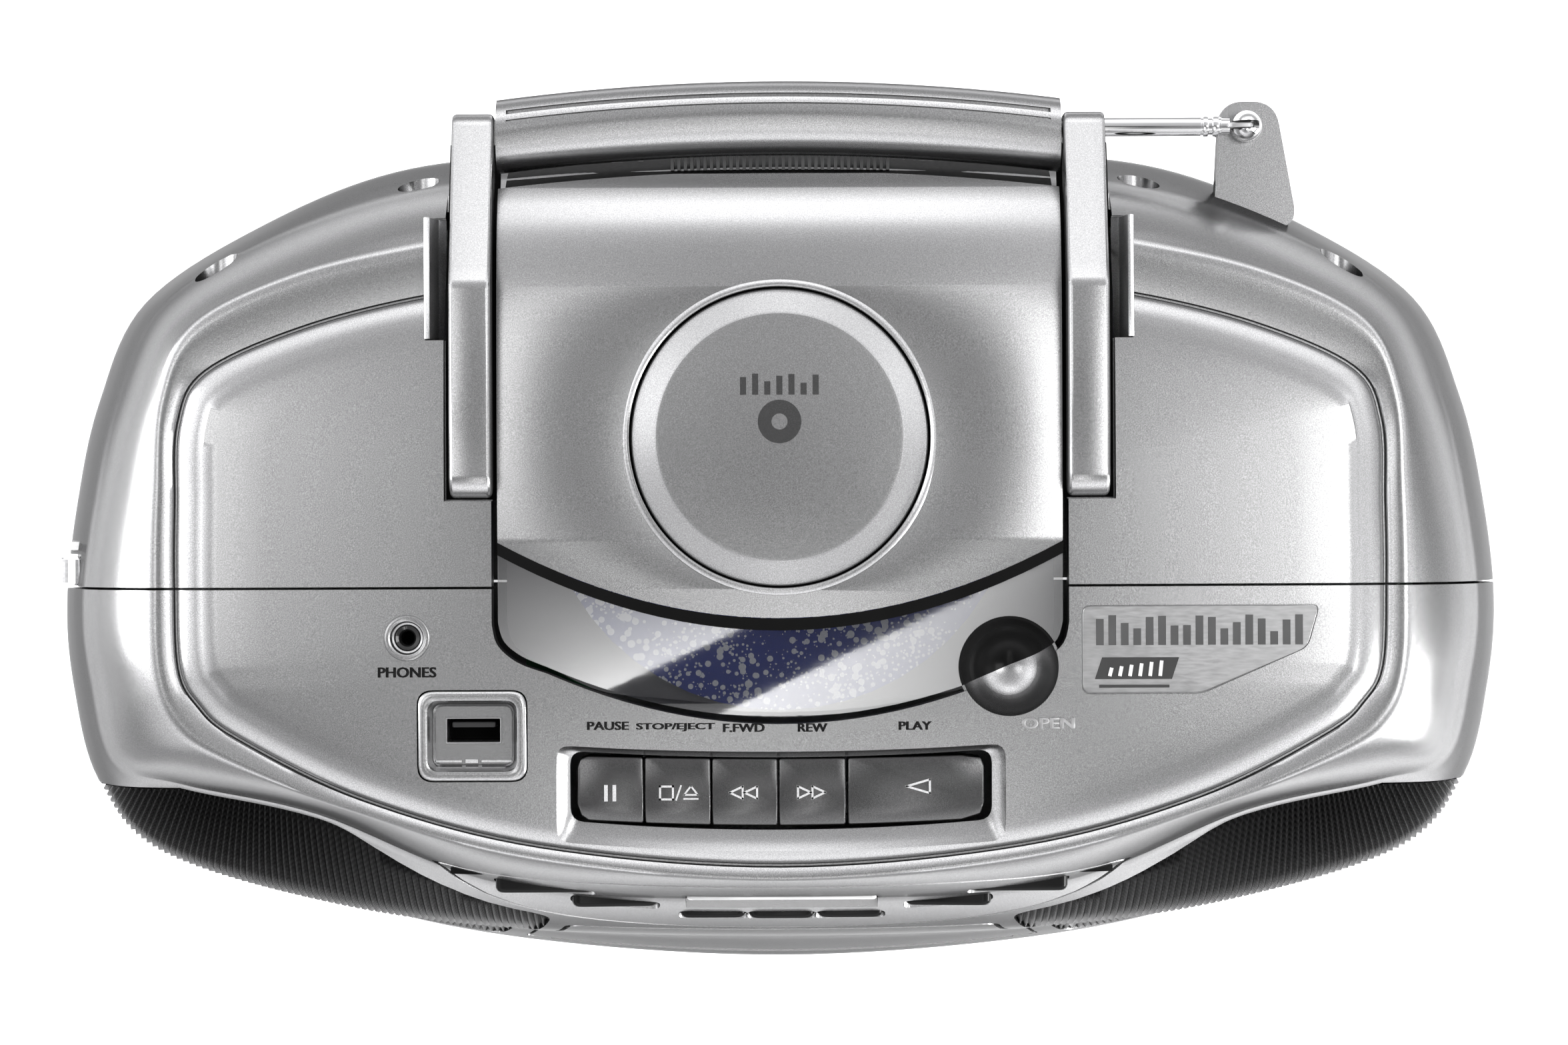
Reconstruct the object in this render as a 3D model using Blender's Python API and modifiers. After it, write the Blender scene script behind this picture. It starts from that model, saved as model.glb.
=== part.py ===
"""A portable stereo with a compact disc deck, a cassette deck and a radio.

Every size below is in millimetres and becomes metres when a mesh is made.
X runs to the right, Y to the rear and Z up. The origin is on the table,
below the middle of the whole object.
"""

import math

import bmesh
import bpy
from mathutils import Matrix, Vector

MM = 0.001

# Driving dimensions
WALL = 2.6  # thickness of the moulded cabinets
GAP = 0.35  # clearance between fixed pieces
FEET_HEIGHT = 4.0
TOP = 138.5  # top of the pillow-shaped panel
PARTING_Y = -11.2  # the plane where the front and rear cabinets meet
RAIL_STEPS = 3  # points between two control points of a cabinet outline

LID_HALF = 70.2
LID_GAP = 1.6
LID_REAR = 93.0
LID_TOP = 140.0
LID_HINGE = (0.0, 86.5, 128.0)
DIAL_CENTRE = (0.0, 25.95)
DIAL_RADIUS = 37.0

DISC_CENTRE = (0.0, 17.5)
DISC_RADIUS = 60.0

HANDLE_PIVOT = (0.0, 16.75, 141.0)
ARM_INNER = 71.3
ARM_OUTER = 81.7
GRIP_Y = 105.75

ANTENNA = (119.8, 105.75, 105.0)

DOOR_BOTTOM = 20.0
DOOR_TOP = 85.5
SPEAKER_X = 122.0
SPEAKER_Z = 56.0
BAFFLE_Y = -66.0
BAFFLE_INNER = 77.0
BAFFLE_OUTER = 182.0
SCREW_WELLS = ((143.0, 70.0, 113.0), (92.0, 93.0, 106.0))
ARM_SLOT = [(10.4, 150), (10.4, 132.5), (62, 132.5), (82, 121), (125, 104), (125, 150)]
DECK_OUTLINE = [(-69, 80), (69, 80), (69, -26), (46, -38.0), (0, -42.4), (-46, -38.0), (-69, -26)]
BADGE = [(75.4, -37.8), (104.9, -37.8), (130.9, -26.5), (133.9, -16.6), (75.4, -16.6)]

# Half outlines of the cabinet, from the rear middle round to the front middle.
BASE = [(0, 94), (55, 93), (92, 89), (125, 76.5), (155, 58), (168, 34), (175, 10), (178, -14),
        (176, -36), (170, -62), (155, -82), (118, -100), (69, -110.5), (0, -115.2)]
WIDE = [(0, 103), (60, 101.5), (100, 97.3), (135, 83.3), (166, 63), (178.3, 37), (184.2, 10.5), (187, -15.5),
        (185.2, -38), (179, -62), (163, -81), (118, -94.7), (69, -101.5), (0, -103.5)]
HOOD = [(0, 95), (60, 93), (98, 88.3), (133, 76), (157.5, 60), (168.5, 36), (174.3, 10.5), (177.3, -15),
        (175.5, -34), (169.5, -55.5), (152, -61.5), (118, -69), (69, -87.5), (0, -91)]
CREST = [(0, 79), (60, 77.5), (89.5, 73.4), (120, 66.6), (145.5, 54.5), (154.3, 37), (156, 14), (156.6, -10),
         (156, -31), (151.5, -44), (140, -53), (107, -66.5), (62, -78.6), (0, -84.3)]
GROOVE = [(0, 66.5), (60, 64.8), (89, 61.5), (119, 54), (143.5, 43), (150.3, 30), (151, 10), (151.2, -10),
          (150.4, -31), (145.8, -40.2), (136, -48.5), (104, -64.2), (60, -76), (0, -81)]

BUTTONS = {
    "button_folder": (-60.0, 115.6, 25.0, 4.0, 0.0),
    "button_skip_down": (-42.5, 108.0, 22.0, 4.0, -6.0),
    "button_repeat": (-17.6, 100.5, 17.0, 4.6, 0.0),
    "button_play_pause": (0.0, 100.5, 17.0, 4.6, 0.0),
    "button_stop": (17.6, 100.5, 17.0, 4.6, 0.0),
    "button_skip_up": (42.5, 108.0, 22.0, 4.0, 6.0),
    "button_tuning": (60.0, 115.6, 25.0, 4.0, 0.0),
}
KEYS = {
    "key_pause": (-50.9, -34.4),
    "key_stop_eject": (-34.0, -17.6),
    "key_rewind": (-17.2, -0.9),
    "key_fast_forward": (-0.5, 16.1),
    "key_play": (16.7, 50.7),
}
KEY_REAR = -53.2
KEY_FRONT = -69.3
KEY_BOW = 1.8
KEY_ROW_HALF = 52.0
KEY_TOP = 134.5
KEY_DEPTH = 13.0


# Scene and materials

for old in list(bpy.data.objects):
    bpy.data.objects.remove(old, do_unlink=True)

PARTS = bpy.data.collections.new("portable_cd_player")
CUTTERS = bpy.data.collections.new("cutters")
bpy.context.scene.collection.children.link(PARTS)
bpy.context.scene.collection.children.link(CUTTERS)


def material(name, colour, roughness, metallic=0.0):
    made = bpy.data.materials.new(name)
    made.use_nodes = True
    shader = made.node_tree.nodes["Principled BSDF"]
    shader.inputs["Base Color"].default_value = (*colour, 1.0)
    shader.inputs["Roughness"].default_value = roughness
    shader.inputs["Metallic"].default_value = metallic
    made.diffuse_color = (*colour, 1.0)
    return made


SILVER = material("silver_paint", (0.50, 0.50, 0.50), 0.38, 0.7)
BLACK = material("black_plastic", (0.02, 0.02, 0.022), 0.35)
GREY = material("grey_plastic", (0.16, 0.16, 0.17), 0.5)
CLEAR = material("smoked_window", (0.05, 0.05, 0.06), 0.05)
CHROME = material("chrome_plate", (0.75, 0.75, 0.76), 0.12, 1.0)
STEEL = material("pressed_steel", (0.55, 0.56, 0.58), 0.35, 1.0)
RUBBER = material("rubber", (0.03, 0.03, 0.03), 0.8)
PAPER = material("cone_paper", (0.04, 0.04, 0.045), 0.9)
BOARD = material("circuit_board", (0.05, 0.22, 0.09), 0.5)
DISC = material("disc_print", (0.05, 0.08, 0.35), 0.25)


# Making and cutting meshes


def place(name, bm, surface, origin=(0.0, 0.0, 0.0), cutter=False):
    """An object from a mesh in world millimetres, with its origin at the given point."""
    bmesh.ops.translate(bm, verts=bm.verts, vec=-Vector(origin))
    bmesh.ops.scale(bm, verts=bm.verts, vec=(MM, MM, MM))
    bmesh.ops.recalc_face_normals(bm, faces=bm.faces)
    mesh = bpy.data.meshes.new(name)
    bm.to_mesh(mesh)
    bm.free()
    made = bpy.data.objects.new(name, mesh)
    made.location = Vector(origin) * MM
    (CUTTERS if cutter else PARTS).objects.link(made)
    if cutter:
        made.hide_render = True
        made.display_type = "WIRE"
    else:
        mesh.materials.append(surface)
        mesh.shade_smooth()
        mesh.set_sharp_from_angle(angle=math.radians(35))
    return made


def cutter(name, bm):
    return place(name, bm, None, cutter=True)


def boolean(target, other, operation="DIFFERENCE"):
    made = target.modifiers.new(other.name, "BOOLEAN")
    made.object = other
    made.operation = operation
    return made


def bevel(target, width, segments=2, angle=40):
    made = target.modifiers.new("rounded_edges", "BEVEL")
    made.width = width * MM
    made.segments = segments
    made.limit_method = "ANGLE"
    made.angle_limit = math.radians(angle)
    return made


def box(low, high):
    bm = bmesh.new()
    bmesh.ops.create_cube(bm, size=1.0)
    low, high = Vector(low), Vector(high)
    bmesh.ops.scale(bm, verts=bm.verts, vec=high - low)
    bmesh.ops.translate(bm, verts=bm.verts, vec=(low + high) / 2)
    return bm


def turn_to(axis):
    """The rotation that takes +Z to the given axis."""
    return Vector((0, 0, 1)).rotation_difference(Vector(axis)).to_matrix().to_4x4()


def cylinder(centre, axis, radius, length, sides=32, end_radius=None):
    """A cylinder or cone about its centre, from radius to end_radius along the axis."""
    bm = bmesh.new()
    bmesh.ops.create_cone(
        bm,
        cap_ends=True,
        segments=sides,
        radius1=radius,
        radius2=radius if end_radius is None else end_radius,
        depth=length,
    )
    bmesh.ops.transform(bm, verts=bm.verts, matrix=Matrix.Translation(centre) @ turn_to(axis))
    return bm


def turned(name, profile, centre, axis, surface, sides=40):
    """A turned piece: the profile holds (radius, height) pairs, from the top down its outer side."""
    bm = bmesh.new()
    points = [bm.verts.new((radius * MM, 0.0, height * MM)) for radius, height in profile]
    for start, end in zip(points, points[1:]):
        bm.edges.new((start, end))
    if profile[0][0] > 0:
        bm.edges.new((points[-1], points[0]))
    mesh = bpy.data.meshes.new(name)
    bm.to_mesh(mesh)
    bm.free()
    made = bpy.data.objects.new(name, mesh)
    made.matrix_world = Matrix.Translation(Vector(centre) * MM) @ turn_to(axis)
    PARTS.objects.link(made)
    mesh.materials.append(surface)
    screw = made.modifiers.new("turned", "SCREW")
    screw.steps = sides
    screw.render_steps = sides
    screw.use_merge_vertices = True
    screw.merge_threshold = 0.00001
    screw.use_smooth_shade = True
    return made


def slab(outline, axis, low, high):
    """A flat outline, extruded from low to high along an axis.

    Its points give the other two axes in order.
    """
    curve = bpy.data.curves.new("outline", "CURVE")
    curve.dimensions = "2D"
    curve.fill_mode = "BOTH"
    curve.extrude = (high - low) / 2
    spline = curve.splines.new("POLY")
    spline.points.add(len(outline) - 1)
    for point, (u, v) in zip(spline.points, outline):
        point.co = (u, v, 0.0, 1.0)
    spline.use_cyclic_u = True
    guide = bpy.data.objects.new("outline", curve)
    bpy.context.scene.collection.objects.link(guide)
    bpy.context.view_layer.update()
    graph = bpy.context.evaluated_depsgraph_get()
    mesh = bpy.data.meshes.new_from_object(guide.evaluated_get(graph))
    bm = bmesh.new()
    bm.from_mesh(mesh)
    bpy.data.objects.remove(guide)
    bpy.data.curves.remove(curve)
    bpy.data.meshes.remove(mesh)
    bmesh.ops.remove_doubles(bm, verts=bm.verts, dist=0.001)
    bmesh.ops.translate(bm, verts=bm.verts, vec=(0, 0, (low + high) / 2))
    order = {"X": (2, 0, 1), "Y": (0, 2, 1), "Z": (0, 1, 2)}[axis]
    for vert in bm.verts:
        vert.co = Vector([vert.co[index] for index in order])
    bmesh.ops.recalc_face_normals(bm, faces=bm.faces)
    return bm


def arc(centre, radius, start, end, steps):
    """Points on an arc, with the angles in degrees."""
    angles = [math.radians(start + (end - start) * step / steps) for step in range(steps + 1)]
    return [(centre[0] + radius * math.cos(a), centre[1] + radius * math.sin(a)) for a in angles]


def rounded(corners, radius, steps=4):
    """A polygon with each corner replaced by a short curve."""
    points = []
    for index, corner in enumerate(corners):
        corner = Vector(corner)
        before = Vector(corners[index - 1]) - corner
        after = Vector(corners[(index + 1) % len(corners)]) - corner
        first = corner + before.normalized() * min(radius, before.length * 0.48)
        last = corner + after.normalized() * min(radius, after.length * 0.48)
        for step in range(steps + 1):
            t = step / steps
            points.append(tuple(first * (1 - t) ** 2 + corner * 2 * t * (1 - t) + last * t**2))
    return points


def through(points, closed, steps):
    """A smooth curve through the given points."""
    count = len(points)
    made = []
    for index in range(count if closed else count - 1):
        if closed:
            p = [Vector(points[(index + k) % count]) for k in (-1, 0, 1, 2)]
        else:
            p = [Vector(points[min(max(index + k, 0), count - 1)]) for k in (-1, 0, 1, 2)]
        for step in range(steps):
            t = step / steps
            made.append(
                0.5
                * (
                    2 * p[1]
                    + (p[2] - p[0]) * t
                    + (2 * p[0] - 5 * p[1] + 4 * p[2] - p[3]) * t**2
                    + (3 * p[1] - p[0] - 3 * p[2] + p[3]) * t**3
                )
            )
    if not closed:
        made.append(Vector(points[-1]))
    return made


def loft(rings):
    """A closed body through rings of equal length, each a list of (x, y, z), with flat ends."""
    bm = bmesh.new()
    rows = [[bm.verts.new(point) for point in ring] for ring in rings]
    count = len(rows[0])
    for lower, upper in zip(rows, rows[1:]):
        for index in range(count):
            nxt = (index + 1) % count
            bm.faces.new((lower[index], lower[nxt], upper[nxt], upper[index]))
    bm.faces.new(rows[0][::-1])
    bm.faces.new(rows[-1])
    return bm


# The cabinet's skin


def rail(half):
    """A closed outline from its half, running from the rear middle."""
    mirrored = [(-x, y) for x, y in half[-2:0:-1]]
    return [(point[0], point[1]) for point in through(list(half) + mirrored, True, RAIL_STEPS)]


def inset(ring, distance):
    """The outline moved inwards."""
    made = []
    for index, point in enumerate(ring):
        along = Vector(ring[(index + 1) % len(ring)]) - Vector(ring[index - 1])
        inward = Vector((along.y, -along.x)).normalized()
        made.append((point[0] + inward.x * distance, point[1] + inward.y * distance))
    return made


def between(first, last, t):
    return [(a[0] + (b[0] - a[0]) * t, a[1] + (b[1] - a[1]) * t) for a, b in zip(first, last)]


def shrunk(ring, share):
    """The outline drawn in towards the middle of the top panel."""
    return [(x * share, -8.0 + (y + 8.0) * share) for x, y in ring]


def skin(depth):
    """The cabinet's outer body, or with a depth the body that lies that far inside it."""
    base, wide, hood, crest, groove = (rail(half) for half in (BASE, WIDE, HOOD, CREST, GROOVE))
    levels = [
        (FEET_HEIGHT - 1.0 + depth, inset(base, 4.0 + depth)),
        (FEET_HEIGHT + 5.0, inset(base, depth)),
        (42.0, inset([(x, y) for x, y in between(base, wide, 0.68)], depth)),
        (75.0, inset(wide, depth)),
        (95.0, inset(between(wide, hood, 0.42), depth)),
        (112.0, inset(hood, depth)),
        (124.5 - depth * 0.7, inset(between(hood, crest, 0.42), depth * 0.7)),
        (132.0 - depth, inset(between(hood, crest, 0.86), depth * 0.4)),
        (133.6 - depth, between(crest, groove, 0.25)),
    ]
    if depth:
        levels.append((134.0 - depth, shrunk(groove, 0.9)))
    else:
        levels.append((132.2, groove))
        levels.append((133.9, inset(groove, 3.5)))
        levels.append((136.8, shrunk(groove, 0.72)))
        levels.append((TOP, shrunk(groove, 0.4)))
    return loft([[(x, y, z) for x, y in ring] for z, ring in levels])


def lens(grow=0.0):
    """The control panel's outline from the front, as (x, z)."""
    tip, middle, rise, drop = 87.0 + grow * 2, 115.0, 13.0 + grow, 26.0 + grow
    steps = 12
    upper = [(tip * math.cos(math.pi * k / steps), middle + rise * math.sin(math.pi * k / steps) ** 1.4)
             for k in range(steps)]
    lower = [(-tip * math.cos(math.pi * k / steps), middle - drop * math.sin(math.pi * k / steps) ** 1.4)
             for k in range(steps)]
    return upper + lower


def door_outline(grow=0.0):
    return rounded([(-69.5 - grow, DOOR_BOTTOM - grow), (69.5 + grow, DOOR_BOTTOM - grow),
                    (55 + grow, DOOR_TOP + grow), (-55 - grow, DOOR_TOP + grow)], 3.0, 2)


def grille_outline(side, grow=0.0):
    """A speaker opening from the front, as (x, z); side is 1 on the right and -1 on the left."""
    corners = [(78 - grow, 15 - grow), (195, 15 - grow), (195, 110.5 + grow), (112, 110.5 + grow),
               (59.5 - grow, 94.5 + grow * 0.6)]
    return rounded([(side * x, z) for x, z in corners], 5.0, 2)


def grille_body(side, grow):
    """The volume in front of which the skin is speaker grille."""
    return slab(grille_outline(side, grow), "Y", -130.0, -62.5 + grow)


hollow = cutter("skin_hollow", skin(WALL))

for side, sign in (("left", -1), ("right", 1)):
    x_low, x_high = sorted((sign * BAFFLE_INNER, sign * BAFFLE_OUTER))
    baffle = cutter("baffle_" + side, box((x_low, BAFFLE_Y, -5), (x_high, BAFFLE_Y + 2.5, 150)))
    opening = cylinder((sign * SPEAKER_X, BAFFLE_Y, SPEAKER_Z), (0, 1, 0), 36, 20, 24)
    boolean(baffle, cutter("baffle_hole_" + side, opening))
    boolean(hollow, baffle)


def window_front(grow=0.0):
    """The lid's front edge from the right to the left, moved out by grow."""
    corner = [(LID_HALF + grow, -20.0 - grow * 0.2), (68.8 + grow, -24.5 - grow * 0.6),
              (64.5 + grow * 0.6, -28.2 - grow)]
    arc_points = front_arc(-43.8 - grow, -31.0 - grow, 6, 58.0)[::-1]
    return corner + arc_points + [(-x, y) for x, y in reversed(corner)]


def front_arc(middle_y, side_y, steps=8, half=LID_HALF):
    """Points of an arc across the lid, from the left to the right."""
    return [(half * k / steps, side_y + (middle_y - side_y) * (1 - (k / steps) ** 2))
            for k in range(-steps, steps + 1)]


# Openings that pass through both cabinets
bay_plan = [(-LID_HALF - LID_GAP, LID_REAR + 20), (LID_HALF + LID_GAP, LID_REAR + 20)] + window_front(LID_GAP)
lid_bay = cutter("lid_bay", slab(bay_plan, "Z", 118.0, 160))


def cabinet(name, low_y, high_y):
    made = place(name, skin(0.0), SILVER)
    boolean(made, hollow)
    half = cutter(name + "_half", box((-250, low_y, -50), (250, high_y, 250)))
    boolean(made, half, "INTERSECT")
    boolean(made, lid_bay)
    return made


front = cabinet("front_cabinet", -200.0, PARTING_Y - 0.15)
rear = cabinet("rear_cabinet", PARTING_Y + 0.15, 200.0)

# Front cabinet openings
for sign in (-1, 1):
    boolean(front, cutter(f"grille_opening_{sign + 1}", grille_body(sign, 0.3)))
boolean(front, cutter("panel_opening", slab(lens(0.3), "Y", -130, -78)))
door_opening = cutter("door_opening", slab(door_outline(0.9), "Y", -130, -88))
boolean(front, door_opening)
key_recess = rounded([(-52.2, -51.5), (52.0, -51.5), (52.0, -70.4), (0, -72.5), (-52.2, -70.4)], 4.0, 3)
boolean(front, cutter("key_opening", slab(key_recess, "Z", 118, 150)))
usb_opening = rounded([(-87, -57), (-66.8, -57), (-66.8, -37.5), (-87, -37.5)], 3, 2)
boolean(front, cutter("usb_opening", slab(usb_opening, "Z", 120, 150)))
boolean(front, cutter("jack_opening", cylinder((-92.9, -23.6, 132), (0, 0, 1), 4.6, 24, 24)))
badge = [(74.9, -38.3), (105, -38.3), (131.4, -26.8), (134.4, -16.1), (74.9, -16.1)]
boolean(front, cutter("badge_recess", slab(rounded(badge, 2.0, 2), "Z", 133.6, 150)))
scoop = bmesh.new()
bmesh.ops.create_uvsphere(scoop, u_segments=24, v_segments=14, radius=12.2)
bmesh.ops.translate(scoop, verts=scoop.verts, vec=(57.0, -31.5, 138.5))
scoop = cutter("finger_scoop", scoop)
boolean(front, scoop)
# The exact solver leaves open edges on this many cuts.
for modifier in front.modifiers:
    modifier.solver = "MANIFOLD"

# Rear cabinet openings
for sign in (-1, 1):
    x_low, x_high = sorted((sign * 70.0, sign * 83.6))
    boolean(rear, cutter(f"arm_slot_{sign + 1}", slab(ARM_SLOT, "X", x_low, x_high)))
    x_low, x_high = sorted((sign * 83.0, sign * 88.2))
    boolean(rear, cutter(f"arm_notch_{sign + 1}", box((x_low, 50.5, 126), (x_high, 81.5, 150))))
    for x, y, z in SCREW_WELLS:
        well = cylinder((sign * x, y + 6, z), (0, 1, 0), 4.8, 24, 16)
        boolean(rear, cutter(f"screw_well_{x}_{sign + 1}", well))
boolean(rear, cutter("wheel_slot", box((-200, PARTING_Y - 1, 67), (-163, -2.6, 104))))
boolean(rear, cutter("switch_slot", box((-200, -1.9, 84), (-176, 0.9, 99))))
boolean(rear, cutter("battery_opening", box((-75, 60, 14), (45, 120, 58))))
boolean(rear, cutter("inlet_opening", box((98, 60, 21), (118, 120, 37))))

fin = slab(rounded([(111.6, 80), (133.0, 80), (127.4, 112.4), (113.4, 112.4)], 5.0, 3), "Z", 95.0, 101.0)
boolean(rear, cutter("antenna_fin", fin), "UNION")
boolean(rear, cutter("swivel_hole", cylinder((ANTENNA[0], ANTENNA[1], 98), (0, 0, 1), 2.3, 20, 16)))


# Fixed outer pieces


def skin_piece(name, body, thickness, surface):
    """The skin's own wall within a body, so that the piece lies flush."""
    made = place(name, skin(0.0), surface)
    boolean(made, cutter(name + "_inside", skin(thickness)))
    boolean(made, cutter(name + "_outline", body), "INTERSECT")
    return made


skin_piece("speaker_grille_left", grille_body(-1, 0.0), 2.0, BLACK)
skin_piece("speaker_grille_right", grille_body(1, 0.0), 2.0, BLACK)
panel = skin_piece("control_panel", slab(lens(), "Y", -130, -78), 2.4, SILVER)
skin_piece("cassette_door", slab(door_outline(), "Y", -130, -90), 2.4, SILVER)


def panel_y(x, z):
    """The skin's place in front, between its widest and its hood outlines."""
    wide_y = -103.5 + 2.0 * (abs(x) / 69.0) ** 2
    hood_y = -91.0 + 3.5 * (abs(x) / 69.0) ** 2
    crest_y = -84.3 + 5.7 * (abs(x) / 62.0) ** 2
    if z < 112.0:
        return wide_y + (hood_y - wide_y) * (z - 75.0) / 37.0
    return hood_y + (crest_y - hood_y) * (z - 112.0) / 22.0


boolean(panel, cutter("display_opening", box((-24.5, -130, 105.8), (24.5, -70, 116.2))))
face_y = panel_y(0, 111) + 0.4
place("display_window", box((-24.1, face_y, 106.2), (24.1, face_y + 1.8, 115.8)), CLEAR)

for name, (x, z, width, height, tilt) in BUTTONS.items():
    turn = Matrix.Rotation(math.radians(-tilt), 4, "Y")
    y = panel_y(x, z)
    for made_name, grow, surface in ((name, 0.0, BLACK), (name + "_hole", 0.45, None)):
        depth = (y - 2.0, y + 6.0) if made_name == name else (y - 30, y + 30)
        bm = box((-width / 2 - grow, depth[0] - y, -height / 2 - grow),
                 (width / 2 + grow, depth[1] - y, height / 2 + grow))
        bmesh.ops.transform(bm, verts=bm.verts, matrix=Matrix.Translation((x, y, z)) @ turn)
        if surface:
            button = place(made_name, bm, surface, origin=(x, y, z))
            bevel(button, 0.8, 2)
        else:
            boolean(panel, cutter(made_name, bm))

# Small fixed pieces in the front cabinet
usb_outline = rounded([(-86.6, -56.6), (-67.2, -56.6), (-67.2, -37.9), (-86.6, -37.9)], 3, 3)
usb = place("usb_socket", slab(usb_outline, "Z", 121, 135.4), SILVER)
boolean(usb, cutter("usb_slot", box((-83.4, -49.9, 124), (-70.2, -44.0, 150))))
turned("phones_jack", [(3.3, 8.0), (4.2, 8.0), (4.2, -8.0), (1.9, -8.0), (1.9, -1.0), (3.3, -1.0)],
       (-92.9, -23.6, 127.0), (0, 0, 1), CHROME, 24)
place("badge_plate", slab(rounded(BADGE, 1.8, 2), "Z", 133.9, 134.7), STEEL)

for name, (low_x, high_x) in KEYS.items():
    low_bow = KEY_BOW * (1 - (low_x / KEY_ROW_HALF) ** 2)
    high_bow = KEY_BOW * (1 - (high_x / KEY_ROW_HALF) ** 2)
    corners = [(low_x, KEY_FRONT - low_bow), (high_x, KEY_FRONT - high_bow),
               (high_x, KEY_REAR - high_bow / 2), (low_x, KEY_REAR - low_bow / 2)]
    middle = ((low_x + high_x) / 2, (KEY_REAR + KEY_FRONT) / 2, KEY_TOP - KEY_DEPTH / 2)
    key = place(name, slab(corners, "Z", KEY_TOP - KEY_DEPTH, KEY_TOP), SILVER, origin=middle)
    bevel(key, 1.0, 2)

# Fixed inner pieces
for side, sign in (("left", -1), ("right", 1)):
    back = BAFFLE_Y + 2.5 + GAP
    turned("speaker_" + side,
           [(37.5, -1.0), (40.0, -1.0), (40.0, -2.5), (30.0, -9.0), (19.0, -16.0), (19.0, -28.0),
            (4.0, -28.0), (4.0, -16.0), (17.0, -14.5), (29.0, -7.6), (37.5, -2.4)],
           (sign * SPEAKER_X, back - 1.0, SPEAKER_Z), (0, -1, 0), STEEL, 20)
    turned("speaker_cone_" + side,
           [(0.0, -2.0), (8.0, -3.4), (12.0, -7.6), (30.0, 3.6), (33.6, 4.4), (33.6, 3.6), (30.0, 2.6),
            (11.5, -9.4), (3.2, -10.0), (3.2, -20.0), (0.0, -20.0)],
           (sign * SPEAKER_X, BAFFLE_Y + 2.5, SPEAKER_Z), (0, -1, 0), PAPER, 20)

deck_outline = rounded(DECK_OUTLINE, 6.0, 3)
deck = place("cd_deck", slab(deck_outline, "Z", 110.5, 121.0), GREY)
boolean(deck, cutter("disc_well", cylinder((*DISC_CENTRE, 120.5), (0, 0, 1), 58.0, 14.0, 48)))
boolean(deck, cutter("deck_underside", box((-66, -36, 100), (66, 77, 112.0))))
boolean(deck, cutter("hub_hole", cylinder((*DISC_CENTRE, 112), (0, 0, 1), 18.0, 14.0, 32)))
boolean(deck, cutter("pickup_slot", box((10, DISC_CENTRE[1] - 14, 105), (57, DISC_CENTRE[1] + 14, 118))))

turned("spindle_motor", [(0, 107.0), (12, 107.0), (12, 96.0), (0, 96.0)], (*DISC_CENTRE, 0), (0, 0, 1),
       STEEL, 24)
turned("cd_turntable", [(0, 126.2), (5.0, 126.2), (7.2, 124.4), (7.2, 122.4), (15, 122.4), (15, 120.4),
                        (3, 120.4), (3, 107.4), (0, 107.4)], (*DISC_CENTRE, 0), (0, 0, 1), BLACK, 24)
turned("compact_disc", [(7.6, 124.0), (DISC_RADIUS, 124.0), (DISC_RADIUS, 122.8), (7.6, 122.8)],
       (*DISC_CENTRE, 0), (0, 0, 1), DISC, 48)
turned("disc_clamp", [(0, 133.4), (6, 133.4), (6, 131.8), (14, 131.8), (14, 124.4), (8.4, 124.4),
                      (8.4, 127.0), (0, 127.0)], (*DISC_CENTRE, 0), (0, 0, 1), BLACK, 24)
pickup = place("optical_pickup", box((22, DISC_CENTRE[1] - 11, 103.5), (40, DISC_CENTRE[1] + 11, 115)), BLACK,
               origin=(31, DISC_CENTRE[1], 109))
lens_hole = cutter("pickup_bearing", cylinder((30, DISC_CENTRE[1] - 7, 106.5), (1, 0, 0), 1.6, 40, 16))
boolean(pickup, lens_hole)
place("pickup_rail", cylinder((36, DISC_CENTRE[1] - 7, 106.5), (1, 0, 0), 1.3, 46, 12), STEEL)

place("tape_deck", box((-62, -79, 24), (62, -75.5, 84)), STEEL)
for name, x in (("supply_reel", -21.2), ("take_up_reel", 21.2)):
    turned(name, [(0, 11.0), (2.6, 11.0), (4.6, 9.0), (4.6, 1.0), (9.0, 1.0), (9.0, 0.0), (0, 0.0)],
           (x, -79.4, 52), (0, -1, 0), BLACK, 16)
turned("capstan_flywheel", [(0, 3.0), (19, 3.0), (19, -3.0), (0, -3.0)], (22, -69.0, 50), (0, 1, 0),
       STEEL, 32)
turned("tape_motor", [(0, 13.0), (14, 13.0), (14, -13.0), (0, -13.0)], (-32, -61.5, 50), (0, 1, 0), STEEL, 24)
place("main_board", box((-66, -38, 88), (66, 50, 89.6)), BOARD)
place("power_transformer", box((88, 20, 8.5), (134, 60, 44)), STEEL)
place("mains_inlet", box((98.4, 72, 21.4), (117.6, 90.0, 36.6)), BLACK)
inlet = bpy.data.objects["mains_inlet"]
for x in (103.8, 112.2):
    boolean(inlet, cutter(f"inlet_bore_{x}", cylinder((x, 88, 29), (0, 1, 0), 2.6, 24, 16)))

# Feet
for row, y in (("front", -82.0), ("rear", 60.0)):
    for side, sign in (("left", -1), ("right", 1)):
        place(f"foot_{row}_{side}", cylinder((sign * 128, y, 1.35), (0, 0, 1), 9.0, 2.7, 20, 8.4), RUBBER)

# Battery door
battery = place("battery_door", box((-74.4, 60, 14.6), (44.4, 120, 57.4)), SILVER, origin=(-15, 97.5, 14.6))
battery_skin = cutter("battery_skin", skin(0.0))
boolean(battery, battery_skin, "INTERSECT")
boolean(battery, cutter("battery_inside", skin(2.4)))

# Volume wheel and function switch
turned("volume_wheel", [(0, 3.7), (20.5, 3.7), (20.5, -3.7), (0, -3.7)], (-168.6, -7.0, 84.0), (0, 1, 0),
               CHROME, 40)
place("function_switch", box((-187.2, -1.5, 89), (-179, 0.5, 94)), CHROME, origin=(-183, -0.5, 91.5))

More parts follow.
